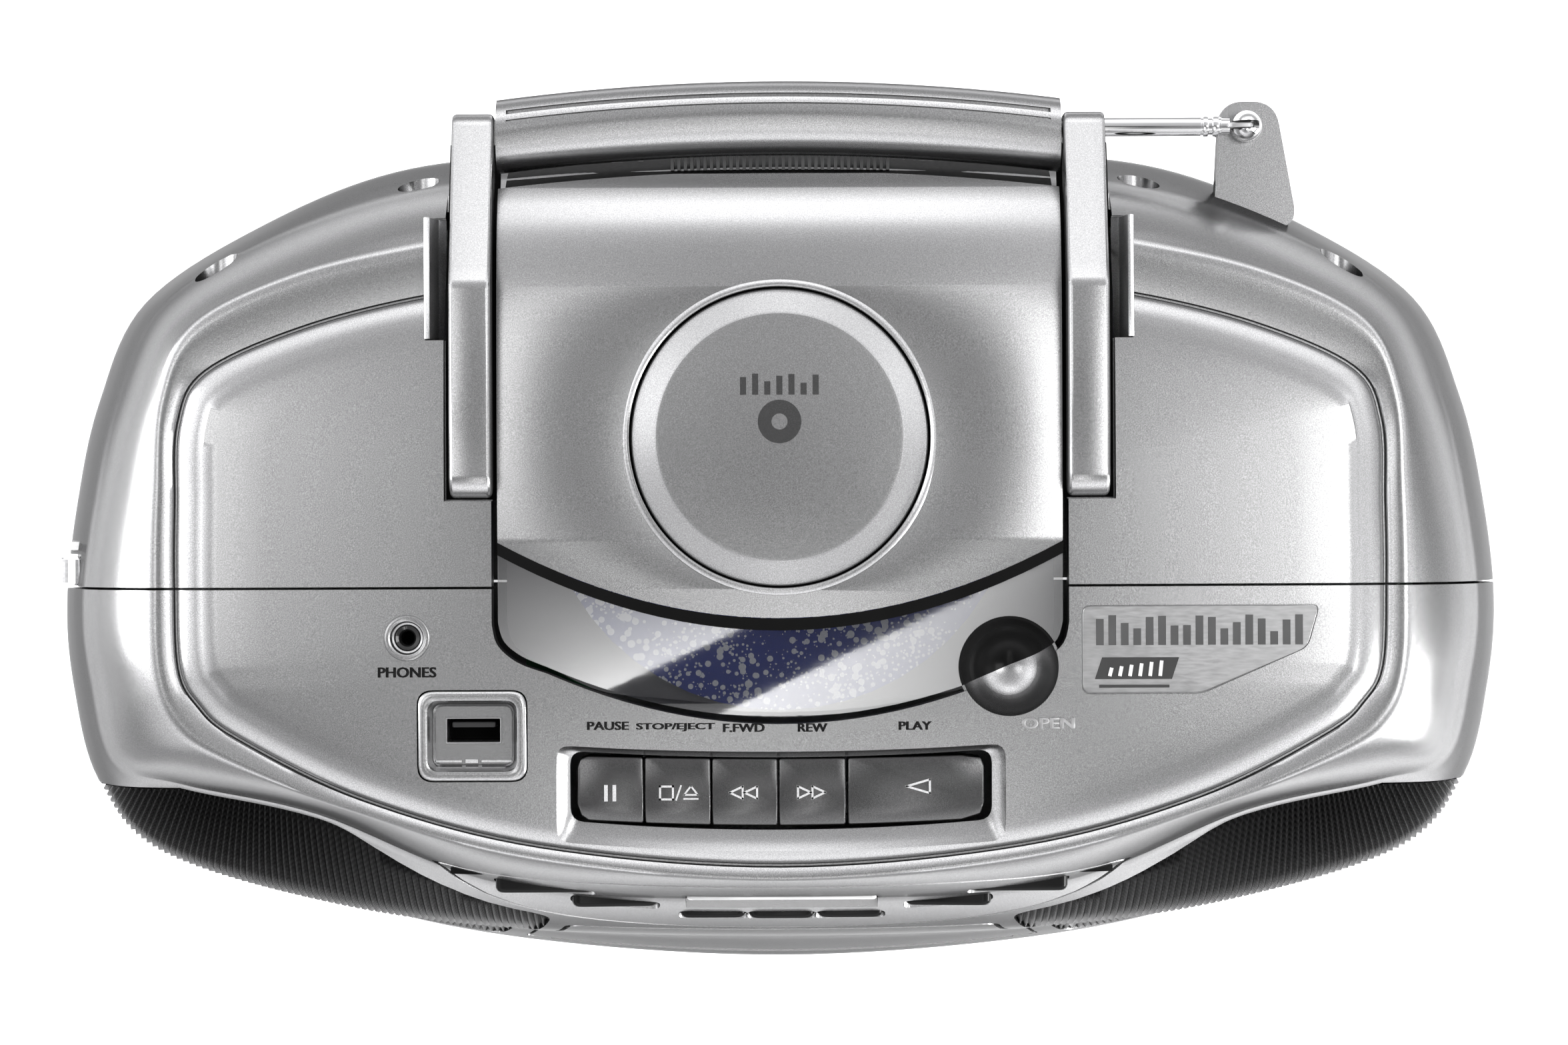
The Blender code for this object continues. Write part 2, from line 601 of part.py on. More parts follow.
# The lid, which is arched from front to rear
LID_PROFILE = [(-48.0, 131.5), (-46.0, 134.5), (-30.0, 137.6), (10.0, LID_TOP - 0.4), (50.0, LID_TOP - 0.4),
               (72.0, 137.8), (84.0, 133.8), (92.4, 127.6)]


def lid_slab(thickness):
    """The lid's arched plate: a profile in Y and Z, wider than the lid."""
    top = through(LID_PROFILE, False, 3)
    under = [(y, z - thickness) for y, z in reversed(through(LID_PROFILE, False, 2))]
    return slab([tuple(p) for p in top] + under, "X", -LID_HALF - 8, LID_HALF + 8)


lid_plan = front_arc(-19.0, 0.0) + front_arc(93.0, 88.6)[::-1]
lid = place("cd_lid", lid_slab(3.0), SILVER, origin=LID_HINGE)
boolean(lid, cutter("lid_outline", slab(lid_plan, "Z", 100, 170)), "INTERSECT")
boolean(lid, cutter("dial_hole", cylinder((*DIAL_CENTRE, 140), (0, 0, 1), DIAL_RADIUS - 2.4, 30, 48)))
window_plan = front_arc(-19.4, -0.4) + window_front()
lid_window = place("lid_window", lid_slab(2.2), CLEAR, origin=LID_HINGE)
window_cut = cutter("window_outline", slab(window_plan, "Z", 100, 170))
boolean(lid_window, window_cut, "INTERSECT")
boolean(lid_window, scoop)
turned("lid_disc_cap", [(0, 141.4), (30.5, 141.4), (DIAL_RADIUS, 140.0), (DIAL_RADIUS, 139.9), (34.2, 139.9),
                        (34.2, 135.6), (0, 135.6)], (*DIAL_CENTRE, 0), (0, 0, 1), SILVER, 48)

# The handle: two arms and a grip, folded back
ARM_TOP = [(19.0, 146.3), (30.0, 147.0), (64.5, 147.0), (68.5, 144.6), (106.4, 131.6)]
ARM_UNDER = [(107.6, 129.5), (107.6, 120.5), (104.0, 119.4), (66.0, 134.2), (21.0, 134.6)]
for side, sign in (("left", -1), ("right", 1)):
    x_low, x_high = sorted((sign * ARM_INNER, sign * ARM_OUTER))
    knuckle = arc((HANDLE_PIVOT[1], HANDLE_PIVOT[2]), 5.6, 250, 90, 6)
    arm = place(f"handle_arm_{side}", slab(ARM_TOP + ARM_UNDER + knuckle, "X", x_low, x_high), SILVER,
                origin=HANDLE_PIVOT)
    bevel(arm, 1.0, 2)

GRIP_SECTION = [(-9.0, -4.0), (-8.4, 2.5), (-4.0, 6.6), (2.0, 8.0), (7.0, 5.4), (9.2, 0.0), (8.0, -5.0),
                (2.0, -6.6), (-5.0, -6.4)]
rings = []
for step in range(-8, 9):
    share = step / 8
    rise = 4.4 * (1 - share**2)
    rings.append([(share * (ARM_INNER - GAP), GRIP_Y - 3.4 + rise + v, 122.0 + rise * 0.3 + w)
                  for v, w in GRIP_SECTION])
place("handle_grip", loft(rings), SILVER, origin=HANDLE_PIVOT)

# The telescopic antenna, folded along the back
turned("antenna_swivel",
       [(0, 6.4), (3.9, 6.4), (3.9, 1.0), (3.9, -3.2), (2.0, -3.2), (2.0, -12.0), (0, -12.0)], ANTENNA, (0, 0, 1), CHROME, 20)
swivel = bpy.data.objects["antenna_swivel"]
boolean(swivel, cutter("clevis_slot", box((110, ANTENNA[1] - 1.6, 102.3), (123.0, ANTENNA[1] + 1.6, 130))))
TUBES = {
    "antenna_base": (115.5, [(2.2, 177.5), (2.6, 177.5), (2.6, 0), (2.2, 0)]),
    "antenna_middle": (112.0, [(1.4, 175.5), (1.85, 175.5), (1.85, 0), (1.4, 0)]),
    "antenna_tip": (110.0, [(0, 180), (2.4, 180), (2.4, 175.2), (1.05, 175.2), (1.05, 0), (0, 0)]),
}
for name, (start, profile) in TUBES.items():
    turned(name, profile, (start, ANTENNA[1], ANTENNA[2]), (-1, 0, 0), CHROME, 12)
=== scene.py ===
"""The looks of a portable stereo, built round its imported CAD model.

The shapes below are in millimetres and become metres when a mesh is made.
"""

import math

import bmesh
import bpy
from mathutils import Matrix, Vector
from mathutils.bvhtree import BVHTree


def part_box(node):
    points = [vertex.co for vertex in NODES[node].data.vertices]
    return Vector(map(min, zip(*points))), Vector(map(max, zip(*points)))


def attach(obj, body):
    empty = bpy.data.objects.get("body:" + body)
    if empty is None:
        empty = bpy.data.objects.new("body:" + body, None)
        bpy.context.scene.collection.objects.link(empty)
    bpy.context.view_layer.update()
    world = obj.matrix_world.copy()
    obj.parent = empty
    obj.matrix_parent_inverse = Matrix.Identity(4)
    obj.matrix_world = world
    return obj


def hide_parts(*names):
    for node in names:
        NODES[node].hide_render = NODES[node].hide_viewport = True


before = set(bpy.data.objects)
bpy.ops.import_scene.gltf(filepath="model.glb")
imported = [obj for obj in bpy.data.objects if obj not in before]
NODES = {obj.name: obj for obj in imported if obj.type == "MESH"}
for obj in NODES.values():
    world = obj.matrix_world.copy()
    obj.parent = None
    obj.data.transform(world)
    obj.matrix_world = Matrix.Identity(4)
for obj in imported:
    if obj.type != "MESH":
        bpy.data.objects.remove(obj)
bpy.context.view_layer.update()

MM = 0.001
ACROSS, BACK, UP = (1, 0, 0), (0, 1, 0), (0, 0, 1)
WALL = 2.6
PARTING_Y = -11.2
SEAM = 0.32
TOP = 138.4
LID_HALF = 70.2
LID_GAP = 1.6
BUTTON_GAP = 0.45
DIAL = (0.0, 25.95)
DOOR_BOTTOM, DOOR_TOP = 20.0, 85.5
GRIP_Y = 105.75
WELLS = ((143.0, 70.0, 113.0), (92.0, 93.0, 106.0))
SCOOP = (57.0, -31.5, 138.5)
SCOOP_CUT = 12.2
SCOOP_WINDOW_CUT = 12.8
SCOOP_BOWL = (12.9, 12.25)
SWIVEL_AT = (119.8, 105.75)
USB = (-76.8, -48.1)
USB_PORT = (-76.8, -46.9)
BADGE_OUTLINE = [(74.9, -38.3), (105, -38.3), (131.4, -26.8), (134.4, -16.1), (74.9, -16.1)]
RIB_PITCH = 1.8
RIB_COLUMNS = 6

# Half outlines of the cabinet, from the rear middle round to the front middle.
BASE = [(0, 94), (55, 93), (92, 89), (125, 76.5), (155, 58), (168, 34), (175, 10), (178, -14),
        (176, -36), (170, -62), (155, -82), (118, -100), (69, -110.5), (0, -115.2)]
WIDE = [(0, 103), (60, 101.5), (100, 97.3), (135, 83.3), (166, 63), (178.3, 37), (184.2, 10.5), (187, -15.5),
        (185.2, -38), (179, -62), (163, -81), (118, -94.7), (69, -101.5), (0, -103.5)]
HOOD = [(0, 95), (60, 93), (98, 88.3), (133, 76), (157.5, 60), (168.5, 36), (174.3, 10.5), (177.3, -15),
        (175.5, -34), (169.5, -55.5), (152, -61.5), (118, -69), (69, -87.5), (0, -91)]
CREST = [(0, 79), (60, 77.5), (89.5, 73.4), (120, 66.6), (145.5, 54.5), (154.3, 37), (156, 14), (156.6, -10),
         (156, -31), (151.5, -44), (140, -53), (107, -66.5), (62, -78.6), (0, -84.3)]
GROOVE = [(0, 66.5), (60, 64.8), (89, 61.5), (119, 54), (143.5, 43), (150.3, 30), (151, 10), (151.2, -10),
          (150.4, -31), (145.8, -40.2), (136, -48.5), (104, -64.2), (60, -76), (0, -81)]

BUTTONS = {
    "button_folder": (-60.0, 115.6, 25.0, 4.0, 0.0),
    "button_skip_down": (-42.5, 108.0, 22.0, 4.0, -6.0),
    "button_repeat": (-17.6, 100.5, 17.0, 4.6, 0.0),
    "button_play_pause": (0.0, 100.5, 17.0, 4.6, 0.0),
    "button_stop": (17.6, 100.5, 17.0, 4.6, 0.0),
    "button_skip_up": (42.5, 108.0, 22.0, 4.0, 6.0),
    "button_tuning": (60.0, 115.6, 25.0, 4.0, 0.0),
}


# Outlines and surfaces


def through(points, closed, steps):
    """A smooth curve through the given points."""
    count = len(points)
    made = []
    for index in range(count if closed else count - 1):
        if closed:
            p = [Vector(points[(index + k) % count]) for k in (-1, 0, 1, 2)]
        else:
            p = [Vector(points[min(max(index + k, 0), count - 1)]) for k in (-1, 0, 1, 2)]
        for step in range(steps):
            t = step / steps
            made.append(0.5 * (2 * p[1] + (p[2] - p[0]) * t + (2 * p[0] - 5 * p[1] + 4 * p[2] - p[3]) * t**2
                               + (3 * p[1] - p[0] - 3 * p[2] + p[3]) * t**3))
    if not closed:
        made.append(Vector(points[-1]))
    return made


def rail(half, steps):
    """A closed outline from its half, running from the rear middle."""
    mirrored = [(-x, y) for x, y in half[-2:0:-1]]
    return [(point[0], point[1]) for point in through(list(half) + mirrored, True, steps)]


def inset(ring, distance):
    """The outline moved inwards."""
    made = []
    for index, point in enumerate(ring):
        along = Vector(ring[(index + 1) % len(ring)]) - Vector(ring[index - 1])
        inward = Vector((along.y, -along.x)).normalized()
        made.append((point[0] + inward.x * distance, point[1] + inward.y * distance))
    return made


def between(first, last, t):
    return [(a[0] + (b[0] - a[0]) * t, a[1] + (b[1] - a[1]) * t) for a, b in zip(first, last)]


def shrunk(ring, share):
    """The outline drawn in towards the middle of the top panel."""
    return [(x * share, -8.0 + (y + 8.0) * share) for x, y in ring]


def smooth_levels(levels, steps):
    """Levels added between the given ones, so that every column of points is a smooth curve."""
    columns = [through([(x, y, z) for x, y, z in column], False, steps)
               for column in zip(*[[(x, y, z) for x, y in ring] for z, ring in levels])]
    return [list(row) for row in zip(*columns)]


def wall_levels(steps, depth=0.0):
    """The cabinet's side wall, from the table up to its hood edge."""
    base, wide, hood = (rail(half, steps) for half in (BASE, WIDE, HOOD))
    return [
        (9.0, inset(base, depth)),
        (25.5, inset(between(base, wide, 0.34), depth)),
        (42.0, inset(between(base, wide, 0.68), depth)),
        (75.0, inset(wide, depth)),
        (95.0, inset(between(wide, hood, 0.42), depth)),
        (112.0, inset(hood, depth)),
    ]


def outer_skin(steps, rows):
    """Rings of the whole outside, with its hood edge, its crest and the groove round the top panel."""
    base, hood, crest, groove = (rail(half, steps) for half in (BASE, HOOD, CREST, GROOVE))
    foot = [[(x, y, z) for x, y in ring] for z, ring in (
        (3.0, inset(base, 4.0)), (4.2, inset(base, 1.6)), (6.2, inset(base, 0.3)))]
    wall = smooth_levels(wall_levels(steps), rows)
    shoulder = smooth_levels([
        (112.9, between(hood, crest, 0.03)),
        (118.8, between(hood, crest, 0.2)),
        (124.5, between(hood, crest, 0.42)),
        (129.3, between(hood, crest, 0.66)),
        (132.6, between(hood, crest, 0.88)),
        (133.8, crest),
        (133.7, between(crest, groove, 0.4)),
        (133.0, between(crest, groove, 0.85)),
    ], 2)
    lip = [[(x, y, z) for x, y in ring] for z, ring in (
        (132.7, inset(groove, -0.5)), (132.2, inset(groove, -0.3)), (131.2, inset(groove, -0.2)),
        (131.2, inset(groove, 0.25)), (132.5, inset(groove, 0.4)), (133.0, inset(groove, 0.7)))]
    pillow = smooth_levels([
        (133.8, inset(groove, 1.8)),
        (134.9, inset(groove, 4.0)),
        (135.7, inset(groove, 7.0)),
        (136.3, inset(groove, 11.0)),
        (137.1, shrunk(groove, 0.74)),
        (138.0, shrunk(groove, 0.5)),
        (TOP, shrunk(groove, 0.2)),
    ], 2)
    return foot + wall + shoulder + lip + pillow


def inner_skin(steps):
    base, hood, crest, groove = (rail(half, steps) for half in (BASE, HOOD, CREST, GROOVE))
    levels = [(3.0 + WALL, inset(base, 4.0 + WALL))] + wall_levels(steps, WALL) + [
        (124.5 - WALL * 0.7, inset(between(hood, crest, 0.42), WALL * 0.7)),
        (132.0 - WALL, inset(between(hood, crest, 0.86), WALL * 0.4)),
        (131.0 - WALL, between(crest, groove, 0.25)),
        (131.0 - WALL + 0.3, shrunk(groove, 0.9)),
    ]
    return [[(x, y, z) for x, y in ring] for z, ring in levels]


def rounded(corners, radius, steps=4):
    """A polygon with each corner replaced by a short curve."""
    points = []
    for index, corner in enumerate(corners):
        corner = Vector(corner)
        before = Vector(corners[index - 1]) - corner
        after = Vector(corners[(index + 1) % len(corners)]) - corner
        first = corner + before.normalized() * min(radius, before.length * 0.48)
        last = corner + after.normalized() * min(radius, after.length * 0.48)
        for step in range(steps + 1):
            t = step / steps
            points.append(tuple(first * (1 - t) ** 2 + corner * 2 * t * (1 - t) + last * t**2))
    return points


def rounded_box(half_u, half_v, radius, steps=4, middle=(0.0, 0.0)):
    u, v = middle
    return rounded([(u - half_u, v - half_v), (u + half_u, v - half_v), (u + half_u, v + half_v),
                    (u - half_u, v + half_v)], radius, steps)


def front_arc(middle_y, side_y, steps=14, half=LID_HALF):
    """Points of an arc across the lid, from the left to the right."""
    return [(half * k / steps, side_y + (middle_y - side_y) * (1 - (k / steps) ** 2))
            for k in range(-steps, steps + 1)]


def window_front(grow=0.0):
    """The lid's front edge from the right to the left, moved out by grow."""
    corner = through([(LID_HALF + grow, -20.0 - grow * 0.2), (68.8 + grow, -24.5 - grow * 0.6),
                      (64.5 + grow * 0.6, -28.2 - grow), (58.0, -31.0 - grow)], False, 4)[:-1]
    arc_points = front_arc(-43.8 - grow, -31.0 - grow, 12, 58.0)[::-1]
    return [tuple(p) for p in corner] + arc_points + [(-x, y) for x, y in reversed(corner)]


def lens(grow=0.0, steps=40):
    """The control panel's outline from the front, as (x, z)."""
    tip, middle, rise, drop = 87.0 + grow * 2, 115.0, 13.0 + grow, 26.0 + grow
    upper = [(tip * math.cos(math.pi * k / steps), middle + rise * math.sin(math.pi * k / steps) ** 1.4)
             for k in range(steps)]
    lower = [(-tip * math.cos(math.pi * k / steps), middle - drop * math.sin(math.pi * k / steps) ** 1.4)
             for k in range(steps)]
    return upper + lower


def door_outline(grow=0.0):
    return rounded([(-69.5 - grow, DOOR_BOTTOM - grow), (69.5 + grow, DOOR_BOTTOM - grow),
                    (55 + grow, DOOR_TOP + grow), (-55 - grow, DOOR_TOP + grow)], 3.0, 4)


def grille_outline(side, grow=0.0):
    corners = [(78 - grow, 15 - grow), (195, 15 - grow), (195, 110.5 + grow), (112, 110.5 + grow),
               (59.5 - grow, 94.5 + grow * 0.6)]
    return rounded([(side * x, z) for x, z in corners], 5.0, 5)


LID_PROFILE = [(-48.0, 131.5), (-46.0, 134.5), (-30.0, 137.6), (10.0, 139.6), (50.0, 139.6),
               (72.0, 137.8), (84.0, 133.8), (92.4, 127.6)]


# Meshes


def to_object(name, bm, hidden=False):
    """An object from a mesh in millimetres."""
    bmesh.ops.scale(bm, verts=bm.verts, vec=(MM, MM, MM))
    bmesh.ops.recalc_face_normals(bm, faces=bm.faces)
    mesh = bpy.data.meshes.new(name)
    bm.to_mesh(mesh)
    bm.free()
    made = bpy.data.objects.new(name, mesh)
    bpy.context.scene.collection.objects.link(made)
    made.hide_render = hidden
    return made


def bake(made):
    """Applies the modifiers, and removes the cutters that they used."""
    bpy.context.view_layer.update()
    graph = bpy.context.evaluated_depsgraph_get()
    mesh = bpy.data.meshes.new_from_object(made.evaluated_get(graph))
    helpers = {m.object for m in made.modifiers if m.type == "BOOLEAN"}
    made.modifiers.clear()
    old = made.data
    made.data = mesh
    bpy.data.meshes.remove(old)
    mesh.name = made.name
    for helper in helpers:
        if not helper.get("shared"):
            bpy.data.objects.remove(helper)
    return made


def cut(made, bm, operation="DIFFERENCE", shared=False):
    """A boolean with a mesh in millimetres, or with an object that several pieces share."""
    other = bm if isinstance(bm, bpy.types.Object) else to_object("cutter", bm, hidden=True)
    if shared:
        other["shared"] = True
    modifier = made.modifiers.new("cut", "BOOLEAN")
    modifier.object = other
    modifier.operation = operation
    modifier.solver = "MANIFOLD"
    return other


def soften(made, width=0.35, segments=2, angle=35):
    """Small rounded edges, which catch the light."""
    modifier = made.modifiers.new("edges", "BEVEL")
    modifier.width = width * MM
    modifier.segments = segments
    modifier.limit_method = "ANGLE"
    modifier.angle_limit = math.radians(angle)
    modifier.harden_normals = False


def smooth(made, angle=32):
    made.data.shade_smooth()
    made.data.set_sharp_from_angle(angle=math.radians(angle))
    return made


def loft(rings, closed=True):
    """A body through rings of equal length, with flat ends."""
    bm = bmesh.new()
    rows = [[bm.verts.new(point) for point in ring] for ring in rings]
    count = len(rows[0])
    for lower, upper in zip(rows, rows[1:]):
        for index in range(count):
            nxt = (index + 1) % count
            bm.faces.new((lower[index], lower[nxt], upper[nxt], upper[index]))
    if closed:
        bm.faces.new(rows[0][::-1])
        bm.faces.new(rows[-1])
    return bm


def box(low, high):
    bm = bmesh.new()
    bmesh.ops.create_cube(bm, size=1.0)
    low, high = Vector(low), Vector(high)
    bmesh.ops.scale(bm, verts=bm.verts, vec=high - low)
    bmesh.ops.translate(bm, verts=bm.verts, vec=(low + high) / 2)
    return bm


def slab(outline, axis, low, high):
    """A flat outline, extruded from low to high; its points give the other two axes in order."""
    place = {
        "X": lambda u, v, w: (w, u, v),
        "Y": lambda u, v, w: (u, w, v),
        "Z": lambda u, v, w: (u, v, w),
    }[axis]
    return loft([[place(u, v, low) for u, v in outline], [place(u, v, high) for u, v in outline]])


def turned(profile, centre, axis, sides=96):
    """A turned body: the profile holds (radius, height) pairs along its outside, from end to end."""
    bm = bmesh.new()
    rows = []
    for radius, height in profile:
        angles = [2 * math.pi * k / sides for k in range(sides if radius else 1)]
        rows.append([bm.verts.new((radius * math.cos(a), radius * math.sin(a), height)) for a in angles])
    for lower, upper in zip(rows, rows[1:]):
        for k in range(sides):
            nxt = (k + 1) % sides
            ring = [row[place % len(row)] for row, place in
                    ((lower, k), (lower, nxt), (upper, nxt), (upper, k))]
            unique = list(dict.fromkeys(ring))
            if len(unique) > 2:
                bm.faces.new(unique)
    if len(rows[0]) > 1 and len(rows[-1]) > 1:
        if profile[0] == profile[-1]:
            bmesh.ops.remove_doubles(bm, verts=bm.verts, dist=0.0001)
        else:
            bm.faces.new(rows[0][::-1])
            bm.faces.new(rows[-1])
    turn = Vector(UP).rotation_difference(Vector(axis)).to_matrix().to_4x4()
    bmesh.ops.transform(bm, verts=bm.verts, matrix=Matrix.Translation(centre) @ turn)
    return bm


def cylinder(centre, axis, radius, length, sides=64):
    return turned([(radius, -length / 2), (radius, length / 2)], centre, axis, sides)


def sphere(centre, radius):
    bm = bmesh.new()
    bmesh.ops.create_uvsphere(bm, u_segments=64, v_segments=40, radius=radius)
    bmesh.ops.translate(bm, verts=bm.verts, vec=centre)
    return bm


# Materials


def new_material(name):
    made = bpy.data.materials.new(name)
    made.use_nodes = True
    tree = made.node_tree
    return made, tree, tree.nodes["Principled BSDF"]


def noise(tree, scale, detail=2.0):
    """Object-space noise; the scale is in features per metre."""
    where = tree.nodes.new("ShaderNodeTexCoord")
    made = tree.nodes.new("ShaderNodeTexNoise")
    made.inputs["Scale"].default_value = scale
    made.inputs["Detail"].default_value = detail
    tree.links.new(where.outputs["Object"], made.inputs["Vector"])
    return made


def ramp(tree, source, stops):
    made = tree.nodes.new("ShaderNodeValToRGB")
    while len(made.color_ramp.elements) < len(stops):
        made.color_ramp.elements.new(0.5)
    for element, (place, colour) in zip(made.color_ramp.elements, stops):
        element.position = place
        element.color = (*colour, 1.0)
    tree.links.new(source, made.inputs["Fac"])
    return made


def coloured(tree, shader, source, stops):
    """The shader's colour follows a texture."""
    tree.links.new(ramp(tree, source, stops).outputs["Color"], shader.inputs["Base Color"])


def glossed(tree, shader, source, low, high):
    """The shader's roughness follows a texture, from low to high."""
    gloss = tree.nodes.new("ShaderNodeMapRange")
    gloss.inputs["To Min"].default_value = low
    gloss.inputs["To Max"].default_value = high
    tree.links.new(source, gloss.inputs["Value"])
    tree.links.new(gloss.outputs["Result"], shader.inputs["Roughness"])


def bump(tree, shader, height, strength, distance):
    made = tree.nodes.new("ShaderNodeBump")
    made.inputs["Strength"].default_value = strength
    made.inputs["Distance"].default_value = distance
    tree.links.new(height, made.inputs["Height"])
    tree.links.new(made.outputs["Normal"], shader.inputs["Normal"])


def grey(value):
    return (value, value, value * 1.005)


def silver_paint(name="silver_metallic_paint", tone=0.42, rough=0.25):
    """Metallic paint: fine flakes in the colour and the roughness, over a faint orange peel."""
    made, tree, shader = new_material(name)
    flakes = noise(tree, 3800.0, 1.0)
    coloured(tree, shader, flakes.outputs["Fac"],
             [(0.30, grey(tone * 0.86)), (0.5, grey(tone)), (0.70, grey(min(1, tone * 1.18)))])
    patches = noise(tree, 35.0, 3.0)
    glossed(tree, shader, patches.outputs["Fac"], rough - 0.015, rough + 0.02)
    shader.inputs["Metallic"].default_value = 0.97
    shader.inputs["Specular Tint"].default_value = (0.06, 0.06, 0.06, 1)
    shader.inputs["Coat Weight"].default_value = 0.08
    shader.inputs["Coat Roughness"].default_value = 0.12
    grain = noise(tree, 2400.0)
    bump(tree, shader, grain.outputs["Fac"], 0.13, 0.00005)
    return made


def plastic(name, tone, rough, grain, depth, coat=0.0, tint=(1.0, 1.0, 1.0), shine=0.5):
    """Moulded plastic with a fine grain and slightly uneven gloss."""
    made, tree, shader = new_material(name)
    cloud = noise(tree, 60.0, 4.0)
    coloured(tree, shader, cloud.outputs["Fac"],
             [(place, tuple(tone * share * c for c in tint)) for place, share in ((0.3, 0.82), (0.7, 1.2))])
    fine = noise(tree, grain, 3.0)
    glossed(tree, shader, fine.outputs["Fac"], max(0.02, rough - 0.06), rough + 0.08)
    shader.inputs["Coat Weight"].default_value = coat
    shader.inputs["Specular IOR Level"].default_value = shine
    bump(tree, shader, fine.outputs["Fac"], depth, 0.0001)
    return made


def metal(name, tone, rough, streak, scale=900.0):
    """Bare or plated metal, with fine streaks along the axes whose factor is small."""
    made, tree, shader = new_material(name)
    where = tree.nodes.new("ShaderNodeTexCoord")
    mapping = tree.nodes.new("ShaderNodeMapping")
    mapping.inputs["Scale"].default_value = streak
    tree.links.new(where.outputs["Object"], mapping.inputs["Vector"])
    lines = tree.nodes.new("ShaderNodeTexNoise")
    lines.inputs["Scale"].default_value = scale
    tree.links.new(mapping.outputs["Vector"], lines.inputs["Vector"])
    coloured(tree, shader, lines.outputs["Fac"], [(0.3, grey(tone * 0.9)), (0.7, grey(min(1.0, tone * 1.1)))])
    glossed(tree, shader, lines.outputs["Fac"], rough * 0.8, rough * 1.3)
    shader.inputs["Metallic"].default_value = 1.0
    return made


def disc_material():
    """A deep blue print with pale speckles of several sizes, lacquered."""
    made, tree, shader = new_material("disc_speckled_print")
    where = tree.nodes.new("ShaderNodeTexCoord")
    speckles = tree.nodes.new("ShaderNodeMath")
    speckles.operation = "MAXIMUM"
    for index, (scale, size, patch_scale) in enumerate(((420.0, 0.42, 45.0), (900.0, 0.36, 70.0))):
        cells = tree.nodes.new("ShaderNodeTexVoronoi")
        cells.inputs["Scale"].default_value = scale
        tree.links.new(where.outputs["Object"], cells.inputs["Vector"])
        limit = tree.nodes.new("ShaderNodeMapRange")
        limit.inputs["From Min"].default_value = 0.36
        limit.inputs["From Max"].default_value = 0.58
        limit.inputs["To Max"].default_value = size
        tree.links.new(noise(tree, patch_scale).outputs["Fac"], limit.inputs["Value"])
        inside = tree.nodes.new("ShaderNodeMath")
        inside.operation = "LESS_THAN"
        tree.links.new(cells.outputs["Distance"], inside.inputs[0])
        tree.links.new(limit.outputs["Result"], inside.inputs[1])
        tree.links.new(inside.outputs[0], speckles.inputs[index])
    coloured(tree, shader, speckles.outputs[0], [(0.0, (0.012, 0.04, 0.34)), (1.0, (0.85, 0.88, 0.95))])
    shader.inputs["Roughness"].default_value = 0.3
    shader.inputs["Coat Weight"].default_value = 0.6
    shader.inputs["Coat Roughness"].default_value = 0.05
    return made


def window_material():
    """Smoked acrylic: it lets more than half of the light through and reflects strongly."""
    made, tree, shader = new_material("smoked_acrylic")
    shader.inputs["Base Color"].default_value = (0.03, 0.03, 0.035, 1)
    glossed(tree, shader, noise(tree, 120.0, 3.0).outputs["Fac"], 0.01, 0.05)
    shader.inputs["Alpha"].default_value = 0.38
    shader.inputs["Coat Weight"].default_value = 1.0
    shader.inputs["Coat Roughness"].default_value = 0.02
    shader.inputs["IOR"].default_value = 4.5
    return made


def grille_material():
    """Black mesh: fine cross wires between the ribs."""
    made, tree, shader = new_material("black_speaker_mesh")
    where = tree.nodes.new("ShaderNodeTexCoord")
    wires = tree.nodes.new("ShaderNodeTexWave")
    wires.wave_type = "BANDS"
    wires.bands_direction = "Z"
    wires.inputs["Scale"].default_value = 170.0
    tree.links.new(where.outputs["Object"], wires.inputs["Vector"])
    coloured(tree, shader, wires.outputs["Fac"], [(0.25, grey(0.0015)), (0.75, grey(0.009))])
    glossed(tree, shader, noise(tree, 1500.0).outputs["Fac"], 0.3, 0.45)
    shader.inputs["Specular IOR Level"].default_value = 0.05
    bump(tree, shader, wires.outputs["Fac"], 0.15, 0.0002)
    return made


SILVER = silver_paint()
# A dark copy of the silver paint: painted shade on the keys; the dial's raised marks use it too.
KEY_SHADE_AND_MARK_SILVER = silver_paint("key_shade_and_mark_paint", 0.12, 0.27)
MARK_SILVER = silver_paint("mark_paint", 0.8, 0.4)
PANEL_SILVER = silver_paint("silver_panel_paint", 0.5, 0.26)
BLACK_GLOSS = plastic("polished_black", 0.012, 0.08, 700.0, 0.02, coat=0.6)
BLACK = plastic("moulded_black", 0.02, 0.42, 900.0, 0.25)
# Near-black and matt: painted shade, laid where shade falls in gaps, hollows and holes.
SHADE_BLACK = plastic("shadow_black", 0.004, 0.7, 900.0, 0.1, shine=0.05)
BUTTON_BLACK = plastic("button_black", 0.008, 0.16, 700.0, 0.02, shine=0.12)
GREY = plastic("moulded_grey", 0.17, 0.4, 900.0, 0.15)
PALE = plastic("display_pale", 0.62, 0.16, 500.0, 0.03, coat=0.4)
CHROME = metal("bright_plate", 0.82, 0.08, (0.08, 1, 1))
STEEL = metal("pressed_steel", 0.5, 0.3, (0.05, 1, 1))
BADGE = metal("satin_plate", 0.42, 0.32, (0.2, 1, 1), 1500.0)
RUBBER = plastic("foot_rubber", 0.025, 0.8, 700.0, 0.4)
PAPER = plastic("cone_pulp", 0.035, 0.85, 500.0, 0.5)
BOARD = plastic("green_board", 1.0, 0.4, 500.0, 0.2, tint=(0.04, 0.2, 0.08))
PRINT = plastic("printed_ink", 0.006, 0.6, 900.0, 0.05, shine=0.08)
BADGE_INK = plastic("badge_ink", 0.05, 0.45, 900.0, 0.05)
SILVER_PRINT = plastic("printed_grey", 0.28, 0.4, 900.0, 0.05)
DISC_BLUE = disc_material()
WINDOW = window_material()
MESH = grille_material()


def dress(piece, material, body, node=None):
    """Gives a piece its material, the body that it rides on and the node that it replaces."""
    piece.data.materials.clear()
    piece.data.materials.append(material)
    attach(piece, body)
    if node:
        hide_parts(node)


# Cabinets

